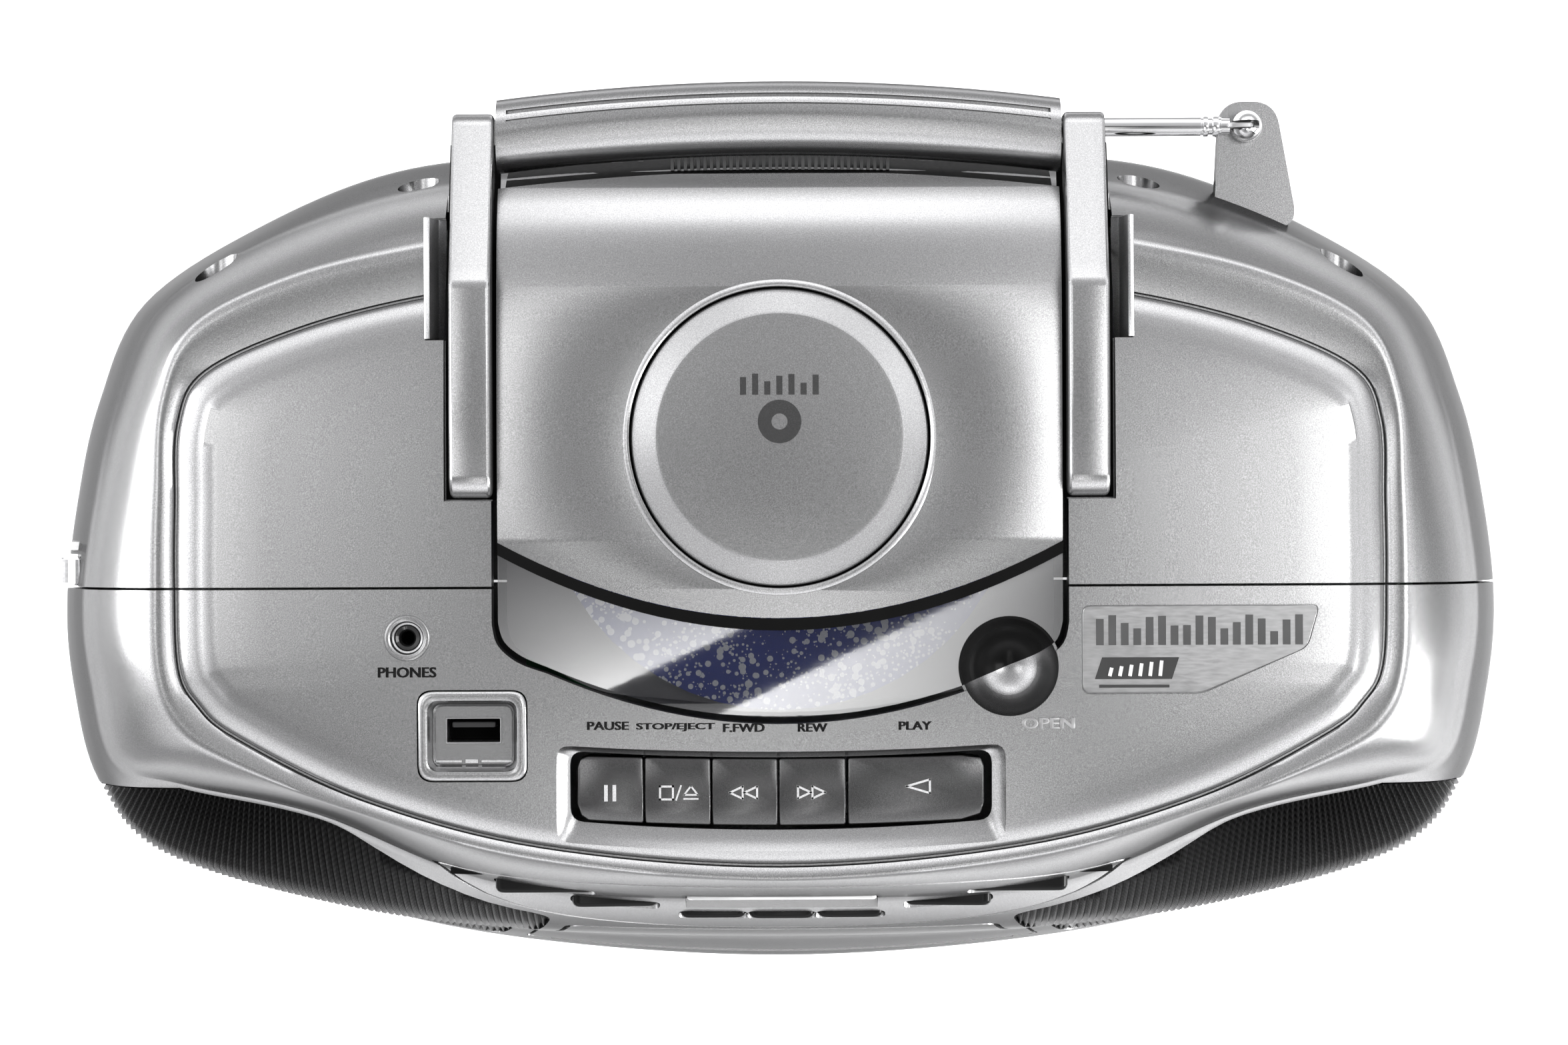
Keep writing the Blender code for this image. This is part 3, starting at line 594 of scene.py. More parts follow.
SKIN_STEPS, SKIN_ROWS = 9, 4
outer_bm = loft(outer_skin(SKIN_STEPS, SKIN_ROWS))
SKIN_TREE = BVHTree.FromBMesh(outer_bm)
outer_bm.free()


def skin_z(x, y):
    """The height of the outside at a place on the top."""
    hit = SKIN_TREE.ray_cast(Vector((x, y, 300)), Vector((0, 0, -1)))[0]
    return hit.z if hit else 0.0


def skin_y(x, z):
    """The front face's place at a height."""
    hit = SKIN_TREE.ray_cast(Vector((x, -300, z)), Vector(BACK))[0]
    return hit.y if hit else 0.0


def skin_solid(name):
    return to_object(name, loft(outer_skin(SKIN_STEPS, SKIN_ROWS)))


inner_solid = to_object("inner_solid", loft(inner_skin(4)), hidden=True)
inner_solid["shared"] = True
bay = [(-LID_HALF - LID_GAP, 113.0), (LID_HALF + LID_GAP, 113.0)] + window_front(LID_GAP)


def cabinet(name, low_y, high_y):
    made = skin_solid(name)
    cut(made, inner_solid)
    cut(made, box((-250, low_y, -50), (250, high_y, 250)), "INTERSECT")
    cut(made, slab(bay, "Z", 118, 160))
    return made


def key_outline(sides, rear, front):
    """The key recess from above, grown to the sides, the rear and the front."""
    rear_edge = [(x * (52.6 + sides) / 52, y + rear) for x, y in front_arc(-53.4, -51.6, 8, 52.0)]
    front_edge = [(x * (52.6 + sides) / 52, y - front) for x, y in front_arc(-72.6, -70.2, 8, 52.0)]
    return rounded([rear_edge[0]] + rear_edge[2:-2] + [rear_edge[-1], front_edge[-1]] + front_edge[2:-2][::-1]
                   + [front_edge[0]], 3.4, 4)


front = cabinet("front_shell", -200, PARTING_Y - SEAM)
for sign in (-1, 1):
    cut(front, slab(grille_outline(sign, 0.3), "Y", -130, -62.2))
cut(front, slab(lens(0.9), "Y", -130, -78))
cut(front, box((-63.5, -130, 16.0), (63.5, -92, 19.2)))
cut(front, slab(door_outline(1.2), "Y", -130, -88))
cut(front, slab(key_outline(0.0, -0.4, -0.6), "Z", 118, 160))
flare = []
for share in (0.0, 0.35, 0.7, 1.0):
    sides, rear_side, front_side = 3.4 * share, -0.4 + 1.6 * share, -0.6 + 5.4 * share
    rise = 3.2 * share**1.6
    flare.append([(x, y, skin_z(x, y) - 3.0 + rise) for x, y in key_outline(sides, rear_side, front_side)])
flare.append([(x, y, z + 6.0) for x, y, z in flare[-1]])
cut(front, loft(flare))
usb_recess = rounded([(-90.6, -59.6), (-63.0, -59.6), (-63.0, -36.6), (-90.6, -36.6)], 4.0, 5)
cut(front, slab(usb_recess, "Z", 120, 160))
jack_low, jack_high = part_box("phones_jack")
JACK = ((jack_low.x + jack_high.x) / 2 / MM, (jack_low.y + jack_high.y) / 2 / MM)
cut(front, cylinder((*JACK, 132), UP, 5.4, 24))
badge_floor = skin_z(105, -27) - 1.3
cut(front, slab(rounded(BADGE_OUTLINE, 2.2, 5), "Z", badge_floor, 160))
cut(front, sphere(SCOOP, SCOOP_CUT))
bake(front)
dress(smooth(front), SILVER, "housing", "front_cabinet")

rear = cabinet("rear_shell", PARTING_Y + SEAM, 200)
for sign in (-1, 1):
    x_low, x_high = sorted((sign * 70.0, sign * 83.6))
    channel = [(10.4, 150), (10.4, 132.5), (62, 132.5), (82, 121), (125, 104), (125, 150)]
    cut(rear, slab(channel, "X", x_low, x_high))
    x_low, x_high = sorted((sign * 83.0, sign * 88.2))
    cut(rear, box((x_low, 50.5, 126), (x_high, 81.5, 150)))
    for x, y, z in WELLS:
        cut(rear, cylinder((sign * x, y + 6, z), BACK, 5.4, 24, 48))
cut(rear, box((-200, PARTING_Y - 1, 67), (-163, -2.6, 104)))
cut(rear, box((-200, -1.9, 84), (-176, 0.9, 99)))
cut(rear, box((-75, 60, 14), (45, 120, 58)))
cut(rear, box((98, 60, 21), (118, 120, 37)))
fin = rounded([(111.6, 80), (133.4, 80), (127.6, 112.4), (113.4, 112.4)], 6.0, 8)
cut(rear, slab(fin, "Z", 95, 101), "UNION")
cut(rear, cylinder((*SWIVEL_AT, 98), UP, 2.3, 20, 32))
bake(rear)
dress(smooth(rear), SILVER, "housing", "rear_cabinet")


def skin_patch(name, outline, thickness, front_y=-130, rear_y=-78):
    """A piece that lies flush in the front face."""
    made = skin_solid(name)
    inside = [[(x, y, z) for x, y, z in ring] for ring in wall_rings(thickness)]
    cut(made, loft(inside))
    cut(made, slab(outline, "Y", front_y, rear_y), "INTERSECT")
    return made


def wall_rings(depth):
    base, hood, crest = (rail(half, 6) for half in (BASE, HOOD, CREST))
    wall = smooth_levels(wall_levels(6, depth), 3)
    top = [[(x, y, z) for x, y in ring] for z, ring in (
        (118.8 - depth * 0.6, inset(between(hood, crest, 0.2), depth * 0.8)),
        (124.5 - depth * 0.7, inset(between(hood, crest, 0.42), depth * 0.7)),
        (131.0 - depth, inset(between(hood, crest, 0.8), depth * 0.4)))]
    foot = [[(x, y, 2.0) for x, y in inset(base, 4.0 + depth)]]
    return foot + wall + top


# Front panels

panel = skin_patch("control_panel_shell", lens(), 2.4)
cut(panel, box((-24.5, -130, 105.8), (24.5, -70, 116.2)))
for name, (x, z, width, height, tilt) in BUTTONS.items():
    turn = Matrix.Translation((x, skin_y(x, z), z)) @ Matrix.Rotation(math.radians(-tilt), 4, "Y")
    hole = slab(rounded_box(width / 2 + BUTTON_GAP, height / 2 + BUTTON_GAP, 2.0), "Y", -20, 20)
    bmesh.ops.transform(hole, verts=hole.verts, matrix=turn)
    cut(panel, hole)
bake(panel)
dress(smooth(panel), PANEL_SILVER, "housing", "control_panel")

door = skin_patch("cassette_door_shell", door_outline(), 2.4, rear_y=-90)
bake(door)
dress(smooth(door), PANEL_SILVER, "door", "cassette_door")

for name, (x, z, width, height, tilt) in BUTTONS.items():
    low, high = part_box(name)
    face = low.y / MM
    turn = Matrix.Translation((x, 0, z)) @ Matrix.Rotation(math.radians(-tilt), 4, "Y")
    rows = []
    for depth, inward in ((7.6, 0.0), (1.4, 0.0), (0.7, 0.25), (0.15, 0.8), (0.0, 1.5)):
        outline = rounded_box(width / 2 - inward, height / 2 - inward * 0.6, 2.2, 6)
        rows.append([(u, face + depth, w) for u, w in outline])
    bm = loft(rows)
    bmesh.ops.transform(bm, verts=bm.verts, matrix=turn)
    cap = to_object(name + "_cap", bm)
    dress(smooth(cap, 50), BUTTON_BLACK, name + "_body", name)


# Speaker grilles: vertical ribs that follow the cabinet's outside

def grille(side, sign):
    steps, first, last = 60, 8.4, 12.9
    dense = {key: rail(half, steps)[int(first * steps):int(last * steps)]
             for key, half in (("base", BASE), ("wide", WIDE), ("hood", HOOD), ("crest", CREST))}
    lengths = [0.0]
    for a, b in zip(dense["wide"], dense["wide"][1:]):
        lengths.append(lengths[-1] + math.dist(a, b))
    rails = {key: [] for key in dense}
    count = int(lengths[-1] / RIB_PITCH) * RIB_COLUMNS
    spot = 0
    for column in range(count):
        target = column * RIB_PITCH / RIB_COLUMNS
        while lengths[spot + 1] < target:
            spot += 1
        share = (target - lengths[spot]) / (lengths[spot + 1] - lengths[spot])
        for key, points in dense.items():
            (x0, y0), (x1, y1) = points[spot], points[spot + 1]
            rails[key].append((x0 + (x1 - x0) * share, y0 + (y1 - y0) * share))
    heights = [(9.0, rails["base"]), (25.5, between(rails["base"], rails["wide"], 0.34)),
               (42.0, between(rails["base"], rails["wide"], 0.68)), (75.0, rails["wide"]),
               (95.0, between(rails["wide"], rails["hood"], 0.42)), (112.0, rails["hood"])]
    rows = smooth_levels(heights, 3)
    outer_rows, inner_rows = [], []
    for row in rows:
        outer_row, inner_row = [], []
        for index, (x, y, z) in enumerate(row):
            ahead, behind = row[min(index + 1, len(row) - 1)], row[max(index - 1, 0)]
            along = Vector((ahead[0] - behind[0], ahead[1] - behind[1])).normalized()
            inward = Vector((along.y, -along.x))
            groove_depth = 1.1 * (0.5 - 0.5 * math.cos(2 * math.pi * index / RIB_COLUMNS)) ** 0.8
            outer_row.append((sign * (x + inward.x * groove_depth), y + inward.y * groove_depth, z))
            inner_row.append((sign * (x + inward.x * 2.0), y + inward.y * 2.0, z))
        outer_rows.append(outer_row)
        inner_rows.append(inner_row)
    bm = loft([o + i[::-1] for o, i in zip(outer_rows, inner_rows)])
    made = to_object("grille_ribs_" + side, bm)
    cut(made, slab(grille_outline(sign, 0.0), "Y", -130, -62.6), "INTERSECT")
    bake(made)
    dress(smooth(made, 60), MESH, "housing", "speaker_grille_" + side)


grille("left", -1)
grille("right", 1)

# A dark baffle behind the buttons and the door stops the light; its black is painted shade in the gaps round
# the buttons
backing = to_object("panel_shade_backing", slab(lens(-1.5), "Y", -84, -82.5))
dress(backing, SHADE_BLACK, "housing")

# The display
low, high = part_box("display_window")
face = low.y / MM
rows = []
for depth, inward in ((1.7, 0), (0.4, 0), (0.0, 0.4)):
    left, right, bottom, top = -24.1 + inward, 24.1 - inward, 106.2 + inward, 115.8 - inward
    outline = rounded([(left, bottom), (right, bottom), (right, top), (left, top)], 1.2, 5)
    rows.append([(u, face + depth, w) for u, w in outline])
display = to_object("display_lens", loft(rows))
dress(smooth(display, 40), PALE, "housing", "display_window")


# The lid

LID_CURVE = through(LID_PROFILE, False, 24)


def lid_plate(name, thickness, drop=0.0):
    top = [(p[0], p[1] - drop) for p in LID_CURVE]
    under = [(y, z - thickness) for y, z in reversed(top)]
    return to_object(name, slab([tuple(p) for p in top] + under, "X", -LID_HALF - 8, LID_HALF + 8))


def lid_z(y):
    for a, b in zip(LID_CURVE, LID_CURVE[1:]):
        if a[0] <= y <= b[0]:
            return a[1] + (b[1] - a[1]) * (y - a[0]) / (b[0] - a[0])
    return LID_CURVE[-1][1]


lid_plan = front_arc(-19.0, 0.0) + front_arc(93.0, 88.6)[::-1]
lid = lid_plate("lid_shell", 3.0)
cut(lid, slab(lid_plan, "Z", 100, 170), "INTERSECT")
cut(lid, cylinder((*DIAL, 140), UP, 37.5, 30, 128))
bake(lid)
soften(lid, 0.8, 3, 40)
bake(lid)
dress(smooth(lid, 25), SILVER, "lid", "cd_lid")

CAP_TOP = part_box("lid_disc_cap")[1].z / MM
cap_profile = [(0, 136.0), (36.9, 136.0), (36.9, CAP_TOP - 3.0), (36.6, CAP_TOP - 2.7), (36.0, CAP_TOP - 2.5),
               (31.3, CAP_TOP - 0.25), (30.7, CAP_TOP - 0.05), (30.0, CAP_TOP), (0, CAP_TOP)]
cap = to_object("dial_cap", turned(cap_profile, (*DIAL, 0), UP, 160))
dress(smooth(cap, 14), SILVER, "lid", "lid_disc_cap")
# A black ring down in the gap round the dial cap: painted shade in the gap.
gap_profile = [(37.6, 135.4), (37.6, 136.6), (36.0, 136.6), (36.0, 135.4), (37.6, 135.4)]
ring = to_object("dial_gap_shade", turned(gap_profile, (*DIAL, 0), UP, 128))
dress(smooth(ring), SHADE_BLACK, "lid")

rim_profile = [(37.6, 138.6), (37.6, 139.9), (37.9, 140.15), (38.5, 140.1), (39.2, 139.6), (39.3, 138.6),
               (37.6, 138.6)]
rim = to_object("dial_rim", turned(rim_profile, (*DIAL, 0), UP, 160))
dress(smooth(rim, 40), SILVER, "lid")

window_plan = front_arc(-19.5, -0.5) + window_front()
window = lid_plate("window_shell", 2.0)
cut(window, slab(window_plan, "Z", 100, 170), "INTERSECT")
cut(window, sphere(SCOOP, SCOOP_WINDOW_CUT))
bake(window)
dress(smooth(window, 25), WINDOW, "lid", "lid_window")

# The black band along the window's rear edge
band = lid_plate("window_band", 1.6, drop=-0.12)
cut(band, slab(front_arc(-22.1, -3.1) + front_arc(-19.1, -0.1)[::-1], "Z", 100, 170), "INTERSECT")
bake(band)
dress(smooth(band), SHADE_BLACK, "lid")

# The finger scoop's bowl: silver in the cabinet; in the lid it is dark, painted shade under the lid's edge
for name, finish, slot_name, body, side_kept in (
        ("finger_scoop_bowl", SILVER, "silver_paint", "housing", "DIFFERENCE"),
        ("lid_scoop_bowl_shade", BUTTON_BLACK, "smoked_window", "lid", "INTERSECT")):
    bowl = to_object(name, sphere(SCOOP, SCOOP_BOWL[0]))
    cut(bowl, sphere(SCOOP, SCOOP_BOWL[1]))
    cut(bowl, box((-200, -200, 136.6), (200, 200, 200)))
    cut(bowl, slab(window_plan, "Z", 100, 170), side_kept)
    bake(bowl)
    dress(smooth(bowl, 50), finish, body)


# The handle

ARM_TOP = [(19.0, 146.3), (30.0, 147.0), (64.0, 147.0), (68.5, 144.6), (105.6, 131.9)]
ARM_UNDER = [(107.5, 129.5), (107.5, 120.5), (104.0, 119.4), (66.0, 134.2), (21.0, 134.6)]
KNUCKLE = [(16.75 + 5.6 * math.cos(math.radians(a)), 141 + 5.6 * math.sin(math.radians(a)))
           for a in range(250, 89, -8)]
for side, sign in (("left", -1), ("right", 1)):
    x_low, x_high = sorted((sign * 71.3, sign * 81.7))
    arm = to_object("arm_" + side, slab(ARM_TOP + ARM_UNDER + KNUCKLE, "X", x_low, x_high))
    soften(arm, 1.3, 4, 25)
    bake(arm)
    dress(smooth(arm, 22), SILVER, "handle", "handle_arm_" + side)

section = through([(-9.0, -4.0), (-8.6, 2.2), (-4.6, 6.4), (2.0, 7.9), (7.2, 5.2), (9.2, 0.0), (8.0, -5.0),
                   (2.0, -6.6), (-5.0, -6.4)], True, 6)


def grip_path(share):
    return GRIP_Y - 3.4 + 4.4 * (1 - share**2), 122.0 + 1.32 * (1 - share**2)


rows = []
for step in range(-40, 41):
    share = step / 40
    y, z = grip_path(share)
    rows.append([(share * 70.9, y + v, z + w) for v, w in section])
grip = to_object("grip_bar", loft(rows))
for offset, height, half_width, depth in ((5.2, 6.0, 0.55, 1.2), (3.0, 6.9, 0.2, 0.55)):
    rows = []
    for step in range(-36, 37):
        share = step / 40 * 1.07
        y, z = grip_path(share)
        rows.append([(share * 70.9, y + offset + a, z + height + b) for a, b in
                     ((-half_width, -depth), (half_width, -depth), (half_width, 4), (-half_width, 4))])
    cut(grip, loft(rows))
bake(grip)
dress(smooth(grip, 40), SILVER, "handle", "handle_grip")


# Keys, with raised symbols

KEY_SPANS = {"key_pause": (-50.9, -34.4), "key_stop_eject": (-34.0, -17.6), "key_rewind": (-17.2, -0.9),
             "key_fast_forward": (-0.5, 16.1), "key_play": (16.7, 50.7)}


def joined(bodies):
    """One mesh that holds several separate bodies."""
    bm = bmesh.new()
    for body in bodies:
        mesh = bpy.data.meshes.new("body")
        body.to_mesh(mesh)
        bm.from_mesh(mesh)
        bpy.data.meshes.remove(mesh)
        body.free()
    return bm


def raised(strokes, height, depth):
    """Closed flat outlines in (x, y), each lifted into a thin body at the given height."""
    return joined(slab(outline, "Z", height - 0.4, height + depth) for outline in strokes)


def bar(x0, y0, x1, y1, width):
    along = (Vector((x1, y1)) - Vector((x0, y0))).normalized() * width / 2
    side = Vector((-along.y, along.x))
    return [(x0 - side.x - along.x, y0 - side.y - along.y), (x1 - side.x + along.x, y1 - side.y + along.y),
            (x1 + side.x + along.x, y1 + side.y + along.y), (x0 + side.x - along.x, y0 + side.y - along.y)]


def triangle(x, y, width, height, towards, line=0.5):
    """Three bars round a triangle that points left (-1) or right (+1)."""
    tip, back = x + towards * width / 2, x - towards * width / 2
    return [bar(tip, y, back, y + height / 2, line), bar(tip, y, back, y - height / 2, line),
            bar(back, y - height / 2, back, y + height / 2, line)]


def square(x, y, size, line=0.5):
    h = size / 2
    return [bar(x - h, y - h, x + h, y - h, line), bar(x + h, y - h, x + h, y + h, line),
            bar(x + h, y + h, x - h, y + h, line), bar(x - h, y + h, x - h, y - h, line)]


MARK_Y = -62.6
MARKS = {
    "key_pause": [bar(x, MARK_Y - 1.6, x, MARK_Y + 1.6, 0.9) for x in (-43.7, -41.6)],
    "key_stop_eject": square(-28.6, MARK_Y, 3.2) + [bar(-26.2, MARK_Y - 1.7, -25.0, MARK_Y + 1.7, 0.42),
                                                    bar(-24.2, MARK_Y - 1.5, -20.8, MARK_Y - 1.5, 0.42),
                                                    bar(-24.2, MARK_Y - 0.5, -22.5, MARK_Y + 1.7, 0.42),
                                                    bar(-20.8, MARK_Y - 0.5, -22.5, MARK_Y + 1.7, 0.42),
                                                    bar(-24.2, MARK_Y - 0.5, -20.8, MARK_Y - 0.5, 0.42)],
    "key_rewind": triangle(-11.2, MARK_Y, 3.2, 3.0, -1) + triangle(-7.6, MARK_Y, 3.2, 3.0, -1),
    "key_fast_forward": triangle(5.8, MARK_Y, 3.2, 3.0, 1) + triangle(9.4, MARK_Y, 3.2, 3.0, 1),
    "key_play": triangle(34.2, MARK_Y + 1.4, 5.8, 3.4, -1, 0.5),
}


def rear_bow(x):
    return -53.2 - 0.9 * (1 - (x / 52) ** 2)


def front_bow(x):
    return -69.3 - 1.8 * (1 - (x / 52) ** 2)


for node, (left, right) in KEY_SPANS.items():
    low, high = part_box(node)
    top = high.z / MM
    xs = [left + (right - left) * k / 6 for k in range(7)]
    rear_edge = [(x, rear_bow(x) - 0.05) for x in xs]
    front_edge = [(x, front_bow(x) + 0.05) for x in xs[::-1]]
    if node == "key_pause":
        rear_edge = rear_edge[1:]
        front_edge = front_edge[:-1] + [(left + 0.9, front_bow(left) + 1.2), (left, front_bow(left) + 4.2)]
        rear_edge = [(left, rear_bow(left) - 3.0), (left + 0.8, rear_bow(left) - 0.8)] + rear_edge
    if node == "key_play":
        rear_edge = rear_edge[:-1] + [(right - 0.8, rear_bow(right) - 0.8), (right, rear_bow(right) - 3.0)]
        front_edge = [(right, front_bow(right) + 4.2), (right - 0.9, front_bow(right) + 1.2)] + front_edge[1:]
    key = to_object(node + "_cap", slab(rear_edge + front_edge, "Z", low.z / MM + 0.1, top))
    slope = [(-50, top), (-66.0, top - 0.5), (-71.6, top - 2.3), (-75, top - 4), (-75, top + 3),
             (-50, top + 3)]
    cut(key, slab(slope, "X", left - 2, right + 2))
    bake(key)
    soften(key, 0.55, 3, 30)
    bake(key)
    mark = to_object(node + "_mark", raised(MARKS[node], top - 0.32, 0.26))
    dress(mark, MARK_SILVER, node + "_body")
    # The keys take the dark copy of the silver paint, which paints their shade.
    dress(smooth(key, 28), KEY_SHADE_AND_MARK_SILVER, node + "_body", node)


# The USB socket, the phones socket and the badge

def frame_ring(x, y, width, height, radius):
    return rounded_box(width / 2, height / 2, radius, 6, (x, y))


usb_z = skin_z(*USB)
profile = [(0.3, -7.4, 4.0), (0.3, 0.0, 4.0), (0.55, 0.35, 3.9), (1.1, 0.6, 3.8), (2.0, 0.6, 3.3),
           (2.6, 0.35, 3.0), (3.1, -0.6, 2.8), (3.7, -4.9, 2.4), (4.3, -5.6, 2.0)]
rings = []
for inside, lift, radius in profile:
    outline = frame_ring(*USB, 27.6 - 2 * inside, 23.0 - 2 * inside, radius)
    rings.append([(x, y, (skin_z(x, y) if lift > -1 else usb_z) + lift) for x, y in outline])
bezel = to_object("usb_bezel", loft(rings))
cut(bezel, slab(frame_ring(*USB_PORT, 14.0, 6.6, 0.5), "Z", 100, 160))
bake(bezel)
dress(smooth(bezel, 32), SILVER, "housing", "usb_socket")
shell = to_object("usb_port", slab(frame_ring(*USB_PORT, 13.9, 6.5, 0.4), "Z", usb_z - 17.5, usb_z - 5.1))
cut(shell, slab(frame_ring(*USB_PORT, 13.3, 5.9, 0.3), "Z", usb_z - 16.8, 160))
bake(shell)
dress(smooth(shell), STEEL, "housing")
tongue = to_object("usb_tongue", box((-82.2, -46.2, usb_z - 16.9), (-71.4, -44.8, usb_z - 6.0)))
soften(tongue)
dress(tongue, BLACK, "housing")
# A black floor deep in the USB port: painted shade in the hole.
inside = to_object("usb_port_inside_shade", slab(frame_ring(*USB_PORT, 13.2, 5.8, 0.3), "Z", usb_z - 16.95,
                                           usb_z - 15.9))
dress(inside, SHADE_BLACK, "housing")
lines = [bar(start, -54.6, end, -54.6, width)
         for start, end, width in ((-86.0, -80.0, 0.5), (-74.6, -67.6, 0.5), (-78.4, -76.2, 0.9))]
dress(to_object("usb_mark", raised(lines, usb_z - 5.55, 0.4)), MARK_SILVER, "housing")

jack_z = skin_z(*JACK)
jack = to_object("phones_ring", turned(
    [(3.35, jack_z - 12), (5.3, jack_z - 12), (5.3, jack_z - 0.2), (5.75, jack_z + 0.1), (5.6, jack_z + 0.5),
     (4.9, jack_z + 0.7), (4.2, jack_z + 0.4), (3.8, jack_z - 1.4), (3.35, jack_z - 1.6),
     (3.35, jack_z - 12)],
    (*JACK, 0), UP, 72))
dress(smooth(jack, 40), SILVER, "housing", "phones_jack")
sleeve = to_object("phones_sleeve", turned(
    [(1.75, jack_z - 12), (3.3, jack_z - 12), (3.3, jack_z - 1.7), (2.9, jack_z - 1.3), (2.2, jack_z - 1.5),
     (1.75, jack_z - 2.2), (1.75, jack_z - 12)], (*JACK, 0), UP, 48))
dress(smooth(sleeve, 40), BLACK_GLOSS, "housing")
# A black disc at the bottom of the phones socket: painted shade in the hole.
bottom = to_object("phones_bottom_shade", cylinder((*JACK, jack_z - 11.5), UP, 1.7, 1.0, 24))
dress(bottom, SHADE_BLACK, "housing")


def badge_inset(distance):
    middle = (104.0, -26.5)
    return [(x + (middle[0] - x) * distance / 30, y + (middle[1] - y) * distance / 11) for x, y in
            rounded(BADGE_OUTLINE, 2.2, 5)]


rings = [[(x, y, badge_floor + lift) for x, y in badge_inset(step)]
         for step, lift in ((0.3, 0.02), (0.3, 0.5), (0.45, 0.62))]
badge = to_object("badge_sheet", loft(rings))
dress(smooth(badge, 30), BADGE, "housing", "badge_plate")
bars = [bar(79.5 + 3.1 * k, -25.2, 79.5 + 3.1 * k, -25.2 + (1.2 + 4.4 * abs(math.sin(0.9 + 0.83 * k))), 1.9)
        for k in range(17)]
dress(to_object("badge_bars", raised(bars, badge_floor + 0.6, 0.18)), BADGE_INK, "housing")
tag = [[(78.2, -34.6), (97.4, -34.6), (99.2, -29.2), (80.0, -29.2)], bar(79.6, -36.4, 96.4, -36.4, 0.7)]
dress(to_object("badge_tag", raised(tag, badge_floor + 0.6, 0.18)), BLACK, "housing")
steps = [bar(82.0 + 2.5 * k, -33.4, 82.3 + 2.5 * k, -32.2 + 0.35 * k, 0.9) for k in range(6)]
dress(to_object("badge_steps", raised(steps, badge_floor + 0.8, 0.1)), PALE, "housing")


# Generic function words beside the controls

def written(name, words, x, y, width, height, material, depth, bold):
    """A word in the plain font, fitted to a width and a height and lifted off the skin."""
    curve = bpy.data.curves.new(name, "FONT")
    curve.body = words
    curve.size = 10.0
    curve.offset = 0.1
    curve.align_x = "CENTER"
    curve.resolution_u = 3
    holder = bpy.data.objects.new(name + "_curve", curve)
    mesh = bpy.data.meshes.new_from_object(holder)
    bm = bmesh.new()
    bm.from_mesh(mesh)
    bpy.data.meshes.remove(mesh)
    bpy.data.objects.remove(holder)
    bpy.data.curves.remove(curve)
    low_x, high_x = min(v.co.x for v in bm.verts), max(v.co.x for v in bm.verts)
    low_y, high_y = min(v.co.y for v in bm.verts), max(v.co.y for v in bm.verts)
    for v in bm.verts:
        v.co.x = x + (v.co.x - (low_x + high_x) / 2) * width / (high_x - low_x)
        v.co.y = y + (v.co.y - (low_y + high_y) / 2) * height / (high_y - low_y)
        v.co.z = skin_z(v.co.x, v.co.y) - 0.25
    faces = bm.faces[:]
    for shift in (-bold, bold):
        copied = bmesh.ops.duplicate(bm, geom=faces)
        for item in copied["geom"]:
            if isinstance(item, bmesh.types.BMVert):
                item.co.x += shift
    lifted = bmesh.ops.extrude_face_region(bm, geom=bm.faces[:])
    for item in lifted["geom"]:
        if isinstance(item, bmesh.types.BMVert):
            item.co.z += 0.25 + depth
    bmesh.ops.recalc_face_normals(bm, faces=bm.faces)
    made = to_object(name, bm)
    dress(made, material, "housing")


for words, x, width in (("PAUSE", -43.0, 10.2), ("STOP/EJECT", -26.2, 19.4), ("F.FWD", -9.2, 10.2),
                        ("REW", 7.9, 7.2), ("PLAY", 33.4, 8.0)):
    place_y = -46.3 + 0.9 * (x / 50) ** 2
    written("word_" + words.lower().replace("/", "_").replace(".", ""), words, x, place_y, width, 2.1, PRINT,
            0.05, 0.14)
written("word_phones", "PHONES", -92.9, -32.15, 14.4, 2.6, PRINT, 0.05, 0.14)
written("word_open", "OPEN", 66.5, -45.45, 13.0, 2.8, SILVER_PRINT, 0.3, 0.15)


# Beside the handle, behind it and in the screw wells

for side, sign in (("left", -1), ("right", 1)):
    section_xz = [(sign * 88.4, 126.2), (sign * 88.4, 136.6), (sign * 87.6, 136.9), (sign * 86.9, 136.2),
                  (sign * 85.4, 127.6), (sign * 83.3, 126.2)]
    cheek = to_object("channel_cheek_" + side, slab(section_xz, "Y", 50.8, 81.2))
    soften(cheek, 0.25)
    bake(cheek)
    dress(smooth(cheek, 30), MARK_SILVER, "housing")
    for index, (x, y, z) in enumerate(WELLS):
        profile = [(0, y - 5.8), (3.2, y - 5.8), (3.2, y - 4.6), (2.4, y - 3.6), (0, y - 3.4)]
        screw = to_object(f"case_screw_{side}_{index}", turned(profile, (sign * x, 0, z), BACK, 32))
        dress(smooth(screw, 30), STEEL, "housing")

# Black sheets on the channel floors under the arms, and a black strip under the grip: painted shade in these
# hollows
for side, sign in (("left", -1), ("right", 1)):
    x_low, x_high = sorted((sign * 70.3, sign * 83.3))
    floor_line = [(10.8, 132.7), (62, 132.7), (82, 121.2), (101, 113.6)]
    upper_line = [(y, z + 0.35) for y, z in floor_line[::-1]]
    lane = to_object("channel_floor_shade_" + side, slab(floor_line + upper_line, "X", x_low, x_high))
    dress(smooth(lane), SHADE_BLACK, "housing")


def rear_strip(name, start, end, lift, thickness):
    """A strip on the cabinet behind the lid, between two arcs."""
    rows = []
    for first, last in zip(front_arc(*start, 30), front_arc(*end, 30)):
        top = [(first[0] * 0.985, first[1] + (last[1] - first[1]) * k / 8) for k in range(9)]
        rows.append([(px, py, skin_z(px, py) + lift) for px, py in top]
                    + [(px, py, skin_z(px, py) + lift - thickness) for px, py in top[::-1]])
    return to_object(name, loft(rows))


